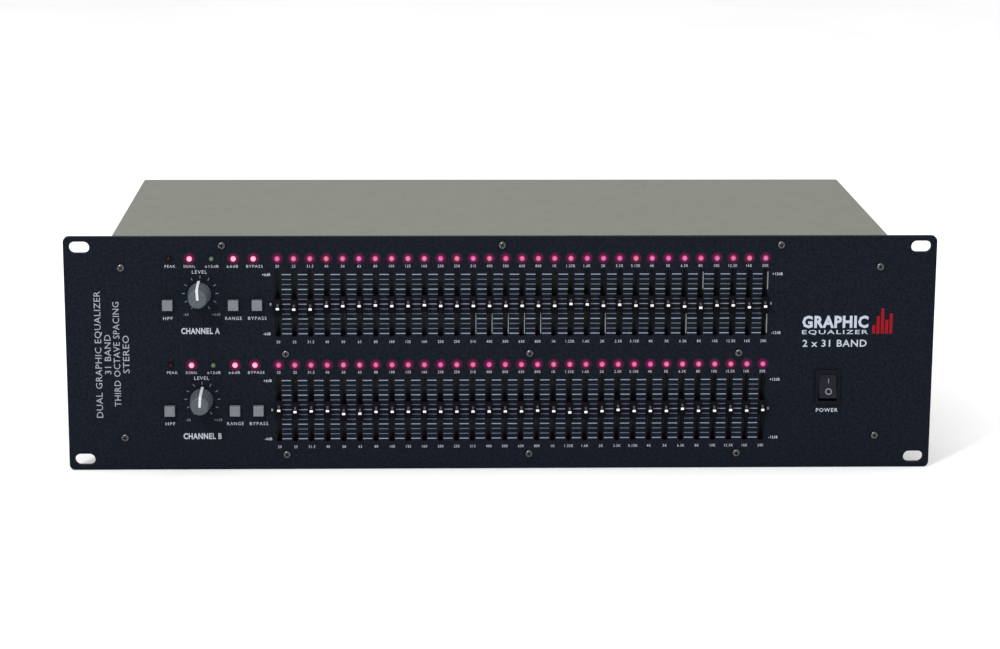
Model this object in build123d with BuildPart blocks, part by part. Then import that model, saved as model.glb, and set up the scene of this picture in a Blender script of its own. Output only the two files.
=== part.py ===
from build123d import *

import math
import os

# Two-channel graphic equalizer, 31 bands a channel, in a three-unit rack case.
# Millimetres. +X is to the right seen from the front, +Y runs back into the rack, +Z is up.
# The origin is at the middle of the bounding box's bottom face.
# "Depth" is the distance behind the front face of the panel, so it is negative in front of it.

# ---- driving dimensions -------------------------------------------------------------------

PANEL_WIDTH = 482.6
PANEL_HEIGHT = 132.5
PANEL_THICKNESS = 3.0
PANEL_CORNER = 3.0
RACK_SPACING_X = 465.1
RACK_SPACING_Z = 120.65
RACK_SLOT_LENGTH = 11.3
RACK_SLOT_WIDTH = 6.5

BODY_WIDTH = 433.0
BODY_DEPTH = 195.0
BODY_TOP = 131.0
SHEET = 1.2
BEND_RADIUS = 2.0
SHEET_GAP = 0.1
TRAY_TOP_GAP = 0.5
CUT_MARGIN = 1.0

KNOB_REACH = 17.0
REAR_REACH = 8.0
FACE_Y = KNOB_REACH - (KNOB_REACH + BODY_DEPTH + REAR_REACH) / 2

# Heights of channel A's rows. Channel B has the same rows, lower by CHANNEL_DROP.
CHANNEL_DROP = 60.25
LAMP_Z = 120.3
ZERO_Z = 94.5
KNOB_Z = 100.7
BUTTON_Z = 94.25

BAND_PITCH = 9.0
FIRST_BAND_X = -124.0
BANDS = [
    "20hz", "25hz", "31_5hz", "40hz", "50hz", "63hz", "80hz", "100hz", "125hz", "160hz", "200hz",
    "250hz", "315hz", "400hz", "500hz", "630hz", "800hz", "1khz", "1_25khz", "1_6khz", "2khz",
    "2_5khz", "3_15khz", "4khz", "5khz", "6_3khz", "8khz", "10khz", "12_5khz", "16khz", "20khz",
]

# Where the few sliders stand that aren't at zero, in millimetres above the zero line.
SETTINGS_A = {
    "20hz": -1.6, "25hz": -1.9, "31_5hz": -1.8, "80hz": 0.4, "160hz": 0.5, "1_25khz": 1.0,
    "1_6khz": 0.7, "2_5khz": 0.5, "6_3khz": -0.6, "8khz": -1.3, "16khz": -1.1, "20khz": -0.7,
}
SETTINGS_B = {
    "20hz": 0.8, "31_5hz": 0.4, "40hz": 0.5, "50hz": -1.2, "63hz": -1.0, "800hz": 0.4,
    "1_25khz": -0.7, "1_6khz": -0.5, "2_5khz": 0.7, "6_3khz": 1.2, "12_5khz": 0.4, "20khz": 0.4,
}

# Slider: slot, cap, lever and carriage. The slot's middle stands a little above the zero line.
SLOT_WIDTH = 3.0
SLOT_LENGTH = 38.2
SLOT_RISE = 0.5
SLOT_EDGE = 0.25
LEVER_WIDTH = 1.2
LEVER_HEIGHT = 3.2
CAP_WIDTH = 4.0
CAP_HEIGHT = 9.5
CAP_RIDGE_HEIGHT = 2.2
CAP_BACK = -0.8
CAP_SHOULDER = -2.2
CAP_FRONT = -5.3
LEVER_FRONT = -4.0
CARRIAGE_WIDTH = 4.0
CARRIAGE_HEIGHT = 5.0
CARRIAGE_FRONT = 6.9
CARRIAGE_BACK = 10.6

# Slide potentiometer frame.
FRAME_WIDTH = 8.2
FRAME_HEIGHT = 46.0
FRAME_FRONT = 5.4
FRAME_SKIN = 1.0
TRACK_WIDTH = 5.0
TRACK_HEIGHT = 41.8
TRACK_FRONT = FRAME_FRONT + FRAME_SKIN
TRACK_BACK = 11.2
FRAME_SLOT_WIDTH = 2.2
FRAME_SLOT_HEIGHT = 38.6

# Boards behind the panel.
BOARD_FRONT = 12.6
BOARD_THICKNESS = 1.6
BOARD_LEFT = -200.0
BOARD_RIGHT = 156.0
BOARD_TOP = 124.4
BOARD_BOTTOM = 64.0
BOARD_GAP = 0.8

# Lamps.
LAMP_RADIUS = 1.5
LAMP_FLANGE_RADIUS = 1.9
LAMP_DOME_BASE = -0.6
LAMP_FLANGE_FRONT = 3.1
LAMP_BACK = 4.1
LAMP_HOLE_RADIUS = 1.6
LAMP_LEG = 0.5
LAMP_LEG_SPREAD = 1.27
STATUS_LAMP_X = [-183.6, -172.2, -160.1, -148.1, -137.1]

# Level knob and its potentiometer.
KNOB_X = -166.9
KNOB_BASE_RADIUS = 6.5
KNOB_FACE_RADIUS = 5.2
KNOB_BACK = -1.0
KNOB_EDGE = 0.6
KNOB_RECESS_RADIUS = 4.6
KNOB_RECESS_FRONT = -4.0
SHAFT_RADIUS = 3.0
SHAFT_FRONT = -14.0
SHAFT_BACK = 9.0
SHAFT_END_GAP = 1.0
BUSH_RADIUS = 3.5
BUSH_BORE = 3.05
BUSH_FRONT = -2.6
BUSH_HOLE_RADIUS = 3.7
POT_RADIUS = 8.0
POT_FRONT = 5.0

# Push buttons.
BUTTON_X = {"hpf": -184.7, "range": -148.5, "bypass": -135.4}
BUTTON_SIZE = 5.7
BUTTON_EDGE = 0.4
BUTTON_FRONT = -3.2
BUTTON_BACK = 4.2
BUTTON_HOLE = 6.3
STEM_SIZE = 3.0
STEM_BACK = 9.2
SWITCH_SIZE = 8.0
SWITCH_FRONT = 7.4
SWITCH_WELL = 3.6
SWITCH_WELL_BACK = 12.0

# Power switch: a rocker in a rectangular bezel. The I end is pressed in at rest.
ROCKER_X = 182.7
ROCKER_Z = 46.5
BEZEL_WIDTH = 14.0
BEZEL_HEIGHT = 20.0
BEZEL_FRONT = -1.8
BEZEL_CORNER = 1.0
BEZEL_EDGE = 0.6
SWITCH_BODY_WIDTH = 12.6
SWITCH_BODY_HEIGHT = 18.4
SWITCH_BODY_BACK = 15.0
SWITCH_BODY_FLOOR = 12.0
POWER_CUTOUT_WIDTH = 13.0
POWER_CUTOUT_HEIGHT = 18.8
WELL_WIDTH = 10.4
WELL_HEIGHT = 15.4
ROCKER_WIDTH = 9.8
ROCKER_PIVOT = 2.4
ROCKER_SWING = 22.0
ROCKER_FACE = 3.6
ROCKER_HALF = 6.9
ROCKER_HEEL = 0.8
ROCKER_HEEL_INSET = 0.6
ROCKER_KEEL = 6.0
ROCKER_EDGE = 0.5
TERMINAL_WIDTH = 4.8
TERMINAL_THICKNESS = 0.8
TERMINAL_LENGTH = 8.0
TERMINAL_SPACING = 6.0

# Screws on the panel's face, as X and Z, and the pillars behind some of them.
SCREW_HEAD_RADIUS = 2.1
SCREW_HEAD_HEIGHT = 1.3
SCREW_HEAD_EDGE = 0.7
SCREW_RADIUS = 1.25
SCREW_LENGTH = 8.0
SCREW_HOLE_RADIUS = 1.4
RECESS_LENGTH = 2.6
RECESS_WIDTH = 0.6
RECESS_DEPTH = 0.7
PILLAR_RADIUS = 2.2
SIDE_SCREW_X = 210.0
TOP_ROW = [(-154.5, 127.6), (0.0, 127.6), (154.5, 127.6)]
SIDE_SCREWS = [(side * SIDE_SCREW_X, z) for side in (-1, 1) for z in (18.5, 115.2)]
BOARD_SCREW_X = [-120.0, 15.6, 132.3]
MIDDLE_ROW = [(x, 66.3) for x in BOARD_SCREW_X]
BOTTOM_ROW = [(x, 8.5) for x in BOARD_SCREW_X]
PANEL_SCREWS = TOP_ROW + SIDE_SCREWS + MIDDLE_ROW + BOTTOM_ROW

# Lips of the case.
TOP_LIP = 6.5
SIDE_LIP = 12.0
SIDE_LIP_BOTTOM = 10.0
SIDE_LIP_TOP = 119.0
FRONT_LIP = 12.0
FRONT_LIP_HALF_WIDTH = 200.0
SEAM_LIP = 13.0
SEAM_LIP_START = 20.0
COVER_SCREW_DEPTHS = [40.0, 100.0, 160.0]
COVER_SCREW_Z = 8.0
REAR_SCREW_DEPTH = 188.0
REAR_SCREW_Z = 112.0

# Rear connectors. Channel A's row is above channel B's.
CONNECTOR_Z = {"a": 96.0, "b": 44.0}
SOCKET_IN_X = 66.0
SOCKET_OUT_X = 26.0
JACK_X = [-14.0, -46.0]
SOCKET_SHELL_RADIUS = 11.5
SOCKET_BORE_RADIUS = 9.5
SOCKET_BORE_DEPTH = 17.0
SOCKET_DEPTH = 24.0
SOCKET_CORE_RADIUS = 7.4
SOCKET_CORE_DEPTH = 2.5
SOCKET_FLANGE_WIDTH = 26.0
SOCKET_FLANGE_HEIGHT = 31.0
SOCKET_FLANGE_THICKNESS = 3.0
SOCKET_FLANGE_CORNER = 2.0
SOCKET_SCREW_OFFSET = (9.5, 12.0)
CONTACT_CIRCLE = 3.55
CONTACT_ANGLES = (90, 210, 330)
CONTACT_RADIUS = 1.2
CONTACT_LENGTH = 12.0
JACK_BORE_RADIUS = 3.25
JACK_BUSH_RADIUS = 4.5
JACK_HOLE_RADIUS = 4.6
JACK_BORE_LENGTH = 32.0
JACK_BODY_WIDTH = 16.0
JACK_BODY_DEPTH = 26.0
JACK_NUT_ACROSS = 12.0
JACK_NUT_THICKNESS = 2.5

INLET_X = 172.0
INLET_Z = 74.0
INLET_FLANGE_WIDTH = 32.0
INLET_FLANGE_HEIGHT = 38.0
INLET_FLANGE_THICKNESS = 3.0
INLET_FLANGE_CORNER = 2.0
INLET_BODY_WIDTH = 27.0
INLET_BODY_HEIGHT = 32.0
INLET_BODY_DEPTH = 22.0
INLET_CUTOUT_GAP = 0.2
INLET_CAVITY_WIDTH = 24.4
INLET_CAVITY_HEIGHT = 16.6
INLET_CAVITY_DEPTH = 18.0
INLET_CAVITY_DROP = 5.4
INLET_CAVITY_CORNER = 4.0
FUSE_DRAWER_WIDTH = 20.0
FUSE_DRAWER_HEIGHT = 7.0
FUSE_DRAWER_DEPTH = 16.0
FUSE_DRAWER_RISE = 9.6
FUSE_DRAWER_PROUD = 1.0
FUSE_GRIP_INSET = 3.0
FUSE_GRIP_HEIGHT = 1.6
BLADE_WIDTH = 2.0
BLADE_HEIGHT = 4.0
BLADE_LENGTH = 12.0
BLADE_SPACING = 7.0
BLADE_DROP = 1.0
EARTH_BLADE_RISE = 4.0

# Main board and what stands on it.
MAIN_BOARD_X = -40.0
MAIN_BOARD_WIDTH = 280.0
MAIN_BOARD_DEPTHS = (45.0, 160.0)
MAIN_BOARD_Z = 9.0
STANDOFF_INSET = 6.0
CHIP_LENGTH = 9.4
CHIP_WIDTH = 6.4
CHIP_HEIGHT = 3.3
CHIP_LEG = 0.5
CHIP_LEG_PITCH = 2.54
CHIP_STAND = 1.0
CHIP_OFFSET = (-30.0, 8.0)
CHIP_PITCH = (24.0, 22.0)
CHIP_COLUMNS = 8
CHIP_ROWS = 3
POWER_ZONE_INSET = 26.0
CAN_RADIUS = 8.0
CAN_HEIGHT = 30.0
CAN_PITCH = 20.0
CAN_EDGE = 0.8
SINK_OFFSET = 38.0
SINK_WIDTH = 34.0
SINK_THICKNESS = 3.0
SINK_HEIGHT = 30.0
FIN_COUNT = 6
FIN_PITCH = 6.2
FIN_THICKNESS = 1.4
FIN_LENGTH = 9.0
REGULATOR_WIDTH = 10.0
REGULATOR_THICKNESS = 4.0
REGULATOR_HEIGHT = 16.0
REGULATOR_LEG_WIDTH = 0.8
REGULATOR_LEG_LENGTH = 5.0

# Transformer, laminations stacked along Y.
CORE_X = 158.0
CORE_DEPTH = 108.0
CORE_WIDTH = 66.0
CORE_HEIGHT = 55.0
CORE_STACK = 24.0
CORE_LIMB = 22.0
CORE_YOKE = 11.0
COIL_GAP = 0.5
FOOT_LENGTH = 84.0
FOOT_THICKNESS = 2.0
FOOT_HOLE_INSET = 4.0
FOOT_HOLE_RADIUS = 2.0
COIL_CORNER = 4.0

# Leads held inside. A ribbon has its X, the height where it leaves its slider board, and the
# depth where it lands on the main board.
RIBBONS = [(-100.0, 84.0, 58.0), (20.0, 34.0, 50.0)]
RIBBON_WIDTH = 26.0
RIBBON_THICKNESS = 1.2
RIBBON_BEND = 12.0
LEAD_RADIUS = 1.2
LEAD_BEND = 6.0
LEAD_SPREAD = 6.0
INLET_LEAD_RUN = 16.0
SIDE_RUN_SHIFT = 28.0
SIDE_RUN_RISE = 12.0
SIDE_RUN_BACK = 34.0
SIDE_RUN_FRONT_DEPTH = 60.0
SWITCH_LEAD_DEPTH = 40.0
COIL_LEAD_DEPTHS = (36.0, 64.0)


# ---- shared helpers -----------------------------------------------------------------------

def face_plane(depth):
    """A plane at a depth behind the panel's face, looking out of the front: local X, Y are X, Z."""
    return Plane(origin=(0, FACE_Y + depth, 0), x_dir=(1, 0, 0), z_dir=(0, -1, 0))


def band_x(index):
    return FIRST_BAND_X + index * BAND_PITCH


def channel_z(row_z):
    """A row's height for channel A and for channel B."""
    return [row_z, row_z - CHANNEL_DROP]


def add_box(x, z, width, height, front, back, mode=Mode.ADD):
    """Add a block between two depths to the part being built."""
    with Locations((x, FACE_Y + (front + back) / 2, z)):
        Box(width, back - front, height, mode=mode)


def cut_box(x, z, width, height, front, back):
    """Cut a rectangular hole between two depths in the part being built."""
    add_box(x, z, width, height, front, back, Mode.SUBTRACT)


def save(builder, name):
    builder.part.label = name
    export_step(builder.part, f"parts/{name}.step")


os.makedirs("parts", exist_ok=True)

band_positions = [(band_x(i), z) for z in channel_z(ZERO_Z) for i in range(len(BANDS))]
band_lamps = [(band_x(i), z) for z in channel_z(LAMP_Z) for i in range(len(BANDS))]
status_lamp_positions = [(x, z) for z in channel_z(LAMP_Z) for x in STATUS_LAMP_X]
knob_positions = [(KNOB_X, z) for z in channel_z(KNOB_Z)]
button_positions = [(x, z) for z in channel_z(BUTTON_Z) for x in BUTTON_X.values()]
socket_places = [(x, z) for z in CONNECTOR_Z.values() for x in (SOCKET_IN_X, SOCKET_OUT_X)]
input_places = [(SOCKET_IN_X, z) for z in CONNECTOR_Z.values()]
output_places = [(SOCKET_OUT_X, z) for z in CONNECTOR_Z.values()]
flange_screws = [
    (x + i * SOCKET_SCREW_OFFSET[0], z + i * SOCKET_SCREW_OFFSET[1])
    for x, z in socket_places for i in (-1, 1)
]
jack_places = [(x, z) for z in CONNECTOR_Z.values() for x in JACK_X]
rack_positions = [
    (i * RACK_SPACING_X / 2, PANEL_HEIGHT / 2 + k * RACK_SPACING_Z / 2)
    for i in (-1, 1) for k in (-1, 1)
]


# ---- front panel --------------------------------------------------------------------------

with BuildPart() as front_panel:
    with BuildSketch(face_plane(0)):
        with Locations((0, PANEL_HEIGHT / 2)):
            RectangleRounded(PANEL_WIDTH, PANEL_HEIGHT, PANEL_CORNER)
        with Locations(*rack_positions):
            SlotOverall(RACK_SLOT_LENGTH, RACK_SLOT_WIDTH, mode=Mode.SUBTRACT)
        with Locations(*[(x, z + SLOT_RISE) for x, z in band_positions]):
            SlotOverall(SLOT_LENGTH, SLOT_WIDTH, rotation=90, mode=Mode.SUBTRACT)
        with Locations(*band_lamps, *status_lamp_positions):
            Circle(LAMP_HOLE_RADIUS, mode=Mode.SUBTRACT)
        with Locations(*knob_positions):
            Circle(BUSH_HOLE_RADIUS, mode=Mode.SUBTRACT)
        with Locations(*button_positions):
            Rectangle(BUTTON_HOLE, BUTTON_HOLE, mode=Mode.SUBTRACT)
        with Locations((ROCKER_X, ROCKER_Z)):
            Rectangle(POWER_CUTOUT_WIDTH, POWER_CUTOUT_HEIGHT, mode=Mode.SUBTRACT)
        with Locations(*PANEL_SCREWS):
            Circle(SCREW_HOLE_RADIUS, mode=Mode.SUBTRACT)
    extrude(amount=-PANEL_THICKNESS)
    # The sliders' slots have a broken front edge. They are the panel's only holes that long round.
    holes = front_panel.faces().sort_by(Axis.Y)[0].inner_wires()
    slots = [hole for hole in holes if hole.length > 2 * SLOT_LENGTH]
    chamfer([edge for slot in slots for edge in slot.edges()], SLOT_EDGE)
save(front_panel, "front_panel")


# ---- case: tray and cover -----------------------------------------------------------------

tray_half = BODY_WIDTH / 2 - SHEET - SHEET_GAP
tray_top = BODY_TOP - SHEET - TRAY_TOP_GAP
rear_inside = BODY_DEPTH - SHEET

with BuildPart() as chassis_tray:
    add_box(0, SHEET / 2, 2 * tray_half, SHEET, PANEL_THICKNESS, BODY_DEPTH)
    add_box(0, tray_top / 2, 2 * tray_half, tray_top, rear_inside, BODY_DEPTH)
    add_box(0, FRONT_LIP / 2, 2 * FRONT_LIP_HALF_WIDTH, FRONT_LIP,
            PANEL_THICKNESS, PANEL_THICKNESS + SHEET)
    for side in (-1, 1):
        lip_x = side * (tray_half - SHEET / 2)
        add_box(lip_x, SEAM_LIP / 2, SHEET, SEAM_LIP, SEAM_LIP_START, BODY_DEPTH)
        add_box(lip_x, tray_top / 2, SHEET, tray_top, BODY_DEPTH - SEAM_LIP, BODY_DEPTH)
    with BuildSketch(face_plane(PANEL_THICKNESS)):
        with Locations(*BOTTOM_ROW):
            Circle(SCREW_HOLE_RADIUS)
    extrude(amount=-2 * SHEET, mode=Mode.SUBTRACT)
    # Holes for the rear connectors.
    with BuildSketch(face_plane(rear_inside - CUT_MARGIN)):
        with Locations(*socket_places):
            Circle(SOCKET_SHELL_RADIUS + SHEET_GAP)
        with Locations(*flange_screws):
            Circle(SCREW_HOLE_RADIUS)
        with Locations(*jack_places):
            Circle(JACK_HOLE_RADIUS)
        with Locations((INLET_X, INLET_Z)):
            Rectangle(INLET_BODY_WIDTH + 2 * INLET_CUTOUT_GAP, INLET_BODY_HEIGHT + 2 * INLET_CUTOUT_GAP)
    extrude(amount=-(SHEET + 2 * CUT_MARGIN), mode=Mode.SUBTRACT)
    # Holes for the screws that come in through the cover's sides.
    with BuildSketch(Plane.YZ.offset(-BODY_WIDTH)):
        with Locations(*[(FACE_Y + depth, COVER_SCREW_Z) for depth in COVER_SCREW_DEPTHS]):
            Circle(SCREW_HOLE_RADIUS)
        with Locations((FACE_Y + REAR_SCREW_DEPTH, REAR_SCREW_Z)):
            Circle(SCREW_HOLE_RADIUS)
    extrude(amount=2 * BODY_WIDTH, mode=Mode.SUBTRACT)
save(chassis_tray, "chassis_tray")

with BuildPart() as top_cover:
    with BuildSketch(face_plane(PANEL_THICKNESS)) as cover_section:
        with Locations((0, BODY_TOP / 2)):
            Rectangle(BODY_WIDTH, BODY_TOP)
        fillet(cover_section.vertices().group_by(Axis.Y)[-1], BEND_RADIUS)
        with BuildSketch(face_plane(PANEL_THICKNESS), mode=Mode.SUBTRACT) as cover_hollow:
            with Locations((0, (BODY_TOP - SHEET) / 2)):
                Rectangle(BODY_WIDTH - 2 * SHEET, BODY_TOP - SHEET)
            fillet(cover_hollow.vertices().group_by(Axis.Y)[-1], BEND_RADIUS - SHEET)
    extrude(amount=-(BODY_DEPTH - PANEL_THICKNESS))
    # Lips bent in behind the panel, which the panel's outer screws go into.
    add_box(0, BODY_TOP - SHEET - TOP_LIP / 2, 2 * FRONT_LIP_HALF_WIDTH, TOP_LIP,
            PANEL_THICKNESS, PANEL_THICKNESS + SHEET)
    lip_height = SIDE_LIP_TOP - SIDE_LIP_BOTTOM
    for side in (-1, 1):
        add_box(side * (BODY_WIDTH / 2 - SHEET - SIDE_LIP / 2), SIDE_LIP_BOTTOM + lip_height / 2,
                SIDE_LIP, lip_height, PANEL_THICKNESS, PANEL_THICKNESS + SHEET)
    with BuildSketch(face_plane(PANEL_THICKNESS)):
        with Locations(*TOP_ROW, *SIDE_SCREWS):
            Circle(SCREW_HOLE_RADIUS)
    extrude(amount=-2 * SHEET, mode=Mode.SUBTRACT)
    with BuildSketch(Plane.YZ.offset(-BODY_WIDTH)):
        with Locations(*[(FACE_Y + depth, COVER_SCREW_Z) for depth in COVER_SCREW_DEPTHS]):
            Circle(SCREW_HOLE_RADIUS)
        with Locations((FACE_Y + REAR_SCREW_DEPTH, REAR_SCREW_Z)):
            Circle(SCREW_HOLE_RADIUS)
    extrude(amount=2 * BODY_WIDTH, mode=Mode.SUBTRACT)
save(top_cover, "top_cover")


# ---- sliders ------------------------------------------------------------------------------

with BuildPart() as slider_lever:
    add_box(0, 0, LEVER_WIDTH, LEVER_HEIGHT, LEVER_FRONT, CARRIAGE_FRONT)
    add_box(0, 0, CARRIAGE_WIDTH, CARRIAGE_HEIGHT, CARRIAGE_FRONT, CARRIAGE_BACK)

with BuildPart() as slider_cap:
    with BuildSketch(Plane.YZ):
        with BuildLine():
            Polyline(
                (FACE_Y + CAP_BACK, -CAP_HEIGHT / 2),
                (FACE_Y + CAP_SHOULDER, -CAP_HEIGHT / 2),
                (FACE_Y + CAP_FRONT, -CAP_RIDGE_HEIGHT / 2),
                (FACE_Y + CAP_FRONT, CAP_RIDGE_HEIGHT / 2),
                (FACE_Y + CAP_SHOULDER, CAP_HEIGHT / 2),
                (FACE_Y + CAP_BACK, CAP_HEIGHT / 2),
                close=True,
            )
        make_face()
    extrude(amount=CAP_WIDTH / 2, both=True)
    cut_box(0, 0, LEVER_WIDTH, LEVER_HEIGHT, LEVER_FRONT, CAP_BACK)

for index, band in enumerate(BANDS):
    height_a, height_b = channel_z(ZERO_Z)
    places = [
        (band_x(index), 0, height_a + SETTINGS_A.get(band, 0)),
        (band_x(index), 0, height_b + SETTINGS_B.get(band, 0)),
    ]
    pair = [piece.part.moved(Location(place)) for place in places for piece in (slider_lever, slider_cap)]
    slider = Compound(children=pair, label=f"slider_{band}")
    export_step(slider, f"parts/slider_{band}.step")

with BuildPart() as pot_frame:
    add_box(0, 0, FRAME_WIDTH, FRAME_HEIGHT, FRAME_FRONT, BOARD_FRONT)
    cut_box(0, 0, TRACK_WIDTH, TRACK_HEIGHT, TRACK_FRONT, TRACK_BACK)
    cut_box(0, 0, FRAME_SLOT_WIDTH, FRAME_SLOT_HEIGHT, FRAME_FRONT, TRACK_FRONT)

with BuildPart() as slide_pot_frames:
    with Locations(*[(x, 0, z) for x, z in band_positions]):
        add(pot_frame.part)
save(slide_pot_frames, "slide_pot_frames")


# ---- lamps --------------------------------------------------------------------------------

with BuildPart() as lamp:
    with BuildSketch(Plane.XY):
        with BuildLine():
            dome = CenterArc((0, LAMP_DOME_BASE), LAMP_RADIUS, 270, 90)
            Polyline(
                dome @ 1,
                (LAMP_RADIUS, LAMP_FLANGE_FRONT),
                (LAMP_FLANGE_RADIUS, LAMP_FLANGE_FRONT),
                (LAMP_FLANGE_RADIUS, LAMP_BACK),
                (0, LAMP_BACK),
                dome @ 0,
            )
        make_face()
    revolve(axis=Axis.Y)
    with Locations((-LAMP_LEG_SPREAD, (LAMP_BACK + BOARD_FRONT) / 2, 0),
                   (LAMP_LEG_SPREAD, (LAMP_BACK + BOARD_FRONT) / 2, 0)):
        Box(LAMP_LEG, BOARD_FRONT - LAMP_BACK, LAMP_LEG)

with BuildPart() as band_leds:
    with Locations(*[(x, FACE_Y, z) for x, z in band_lamps]):
        add(lamp.part)
save(band_leds, "band_leds")

with BuildPart() as status_leds:
    with Locations(*[(x, FACE_Y, z) for x, z in status_lamp_positions]):
        add(lamp.part)
save(status_leds, "status_leds")


# ---- level knobs and their potentiometers -------------------------------------------------

for channel, (knob_x, knob_z) in zip("ab", knob_positions):
    with BuildPart() as shaft:
        with BuildSketch(face_plane(SHAFT_FRONT)):
            with Locations((knob_x, knob_z)):
                Circle(SHAFT_RADIUS)
        extrude(amount=SHAFT_FRONT - SHAFT_BACK)

    with BuildPart() as knob:
        with BuildSketch(face_plane(KNOB_BACK)):
            with Locations((knob_x, knob_z)):
                Circle(KNOB_BASE_RADIUS)
        with BuildSketch(face_plane(-KNOB_REACH)):
            with Locations((knob_x, knob_z)):
                Circle(KNOB_FACE_RADIUS)
        loft()
        fillet(knob.edges().sort_by(Axis.Y)[0], KNOB_EDGE)
        with BuildSketch(face_plane(KNOB_BACK)):
            with Locations((knob_x, knob_z)):
                Circle(KNOB_RECESS_RADIUS)
        extrude(amount=KNOB_BACK - KNOB_RECESS_FRONT, mode=Mode.SUBTRACT)
        with BuildSketch(face_plane(KNOB_BACK)):
            with Locations((knob_x, knob_z)):
                Circle(SHAFT_RADIUS)
        extrude(amount=KNOB_BACK - SHAFT_FRONT, mode=Mode.SUBTRACT)

    name = f"level_knob_{channel}"
    assembly = Compound(children=[shaft.part, knob.part], label=name)
    export_step(assembly, f"parts/{name}.step")

with BuildPart() as level_pots:
    with BuildSketch(face_plane(BUSH_FRONT)):
        with Locations(*knob_positions):
            Circle(BUSH_RADIUS)
    extrude(amount=BUSH_FRONT - POT_FRONT)
    with BuildSketch(face_plane(POT_FRONT)):
        with Locations(*knob_positions):
            Circle(POT_RADIUS)
    extrude(amount=POT_FRONT - BOARD_FRONT)
    with BuildSketch(face_plane(BUSH_FRONT)):
        with Locations(*knob_positions):
            Circle(BUSH_BORE)
    extrude(amount=BUSH_FRONT - SHAFT_BACK - SHAFT_END_GAP, mode=Mode.SUBTRACT)
save(level_pots, "level_pots")


# ---- push buttons and their switches ------------------------------------------------------

for channel, button_z in zip("ab", channel_z(BUTTON_Z)):
    for function, button_x in BUTTON_X.items():
        with BuildPart() as button:
            add_box(button_x, button_z, BUTTON_SIZE, BUTTON_SIZE, BUTTON_FRONT, BUTTON_BACK)
            fillet(button.edges().group_by(Axis.Y)[0], BUTTON_EDGE)
            add_box(button_x, button_z, STEM_SIZE, STEM_SIZE, BUTTON_BACK, STEM_BACK)
        save(button, f"{function}_button_{channel}")

with BuildPart() as button_switches:
    for x, z in button_positions:
        add_box(x, z, SWITCH_SIZE, SWITCH_SIZE, SWITCH_FRONT, BOARD_FRONT)
        cut_box(x, z, SWITCH_WELL, SWITCH_WELL, SWITCH_FRONT, SWITCH_WELL_BACK)
save(button_switches, "button_switches")


# ---- power switch -------------------------------------------------------------------------

with BuildPart() as switch_housing:
    add_box(ROCKER_X, ROCKER_Z, BEZEL_WIDTH, BEZEL_HEIGHT, BEZEL_FRONT, 0)
    fillet(switch_housing.edges().filter_by(Axis.Y), BEZEL_CORNER)
    fillet(switch_housing.edges().group_by(Axis.Y)[0], BEZEL_EDGE)
    add_box(ROCKER_X, ROCKER_Z, SWITCH_BODY_WIDTH, SWITCH_BODY_HEIGHT, 0, SWITCH_BODY_BACK)
    cut_box(ROCKER_X, ROCKER_Z, WELL_WIDTH, WELL_HEIGHT, BEZEL_FRONT, SWITCH_BODY_FLOOR)
    for offset in (-TERMINAL_SPACING, 0, TERMINAL_SPACING):
        add_box(ROCKER_X, ROCKER_Z + offset, TERMINAL_WIDTH, TERMINAL_THICKNESS,
                SWITCH_BODY_BACK, SWITCH_BODY_BACK + TERMINAL_LENGTH)
save(switch_housing, "power_switch_housing")

# The rocker's two finger faces meet at a shallow valley, half the swing each way from square.
# It is drawn square, then tipped so that its upper end is pressed in.
lean = math.radians(ROCKER_SWING / 2)
crest = ROCKER_FACE + ROCKER_HALF * math.tan(lean)
pivot = (FACE_Y + ROCKER_PIVOT, ROCKER_Z)

with BuildPart() as power_rocker:
    with BuildSketch(Plane.YZ.offset(ROCKER_X)) as rocker_side:
        with BuildLine():
            Polyline(
                (pivot[0] - ROCKER_FACE, pivot[1]),
                (pivot[0] - crest, pivot[1] + ROCKER_HALF),
                (pivot[0] + ROCKER_HEEL, pivot[1] + ROCKER_HALF - ROCKER_HEEL_INSET),
                (pivot[0] + ROCKER_KEEL, pivot[1]),
                (pivot[0] + ROCKER_HEEL, pivot[1] - ROCKER_HALF + ROCKER_HEEL_INSET),
                (pivot[0] - crest, pivot[1] - ROCKER_HALF),
                close=True,
            )
        make_face()
        fillet(rocker_side.vertices().group_by(Axis.X)[0], ROCKER_EDGE)
    extrude(amount=ROCKER_WIDTH / 2, both=True)
rocker_axis = Axis((ROCKER_X, pivot[0], pivot[1]), (1, 0, 0))
tipped_rocker = power_rocker.part.rotate(rocker_axis, -ROCKER_SWING / 2)
tipped_rocker.label = "power_rocker"
export_step(tipped_rocker, "parts/power_rocker.step")


# ---- boards behind the panel --------------------------------------------------------------

with BuildPart() as slider_boards:
    for board_drop in (0, CHANNEL_DROP):
        height = BOARD_TOP - BOARD_BOTTOM
        middle_z = (BOARD_TOP + BOARD_BOTTOM) / 2 - board_drop
        add_box((BOARD_LEFT + BOARD_RIGHT) / 2, middle_z, BOARD_RIGHT - BOARD_LEFT, height - BOARD_GAP,
                BOARD_FRONT, BOARD_FRONT + BOARD_THICKNESS)
    with BuildSketch(face_plane(BOARD_FRONT)):
        with Locations(*MIDDLE_ROW, *BOTTOM_ROW):
            Circle(SCREW_HOLE_RADIUS)
    extrude(amount=-BOARD_THICKNESS, mode=Mode.SUBTRACT)
save(slider_boards, "slider_boards")


# ---- main board and its components --------------------------------------------------------

board_front_depth, board_back_depth = MAIN_BOARD_DEPTHS
board_middle_y = FACE_Y + (board_front_depth + board_back_depth) / 2
board_length = board_back_depth - board_front_depth
main_board_top = MAIN_BOARD_Z + BOARD_THICKNESS
standoff_x = MAIN_BOARD_WIDTH / 2 - STANDOFF_INSET
standoff_y = board_length / 2 - STANDOFF_INSET
standoff_places = [
    (MAIN_BOARD_X + i * standoff_x, board_middle_y + k * standoff_y) for i in (-1, 1) for k in (-1, 1)
]

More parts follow.
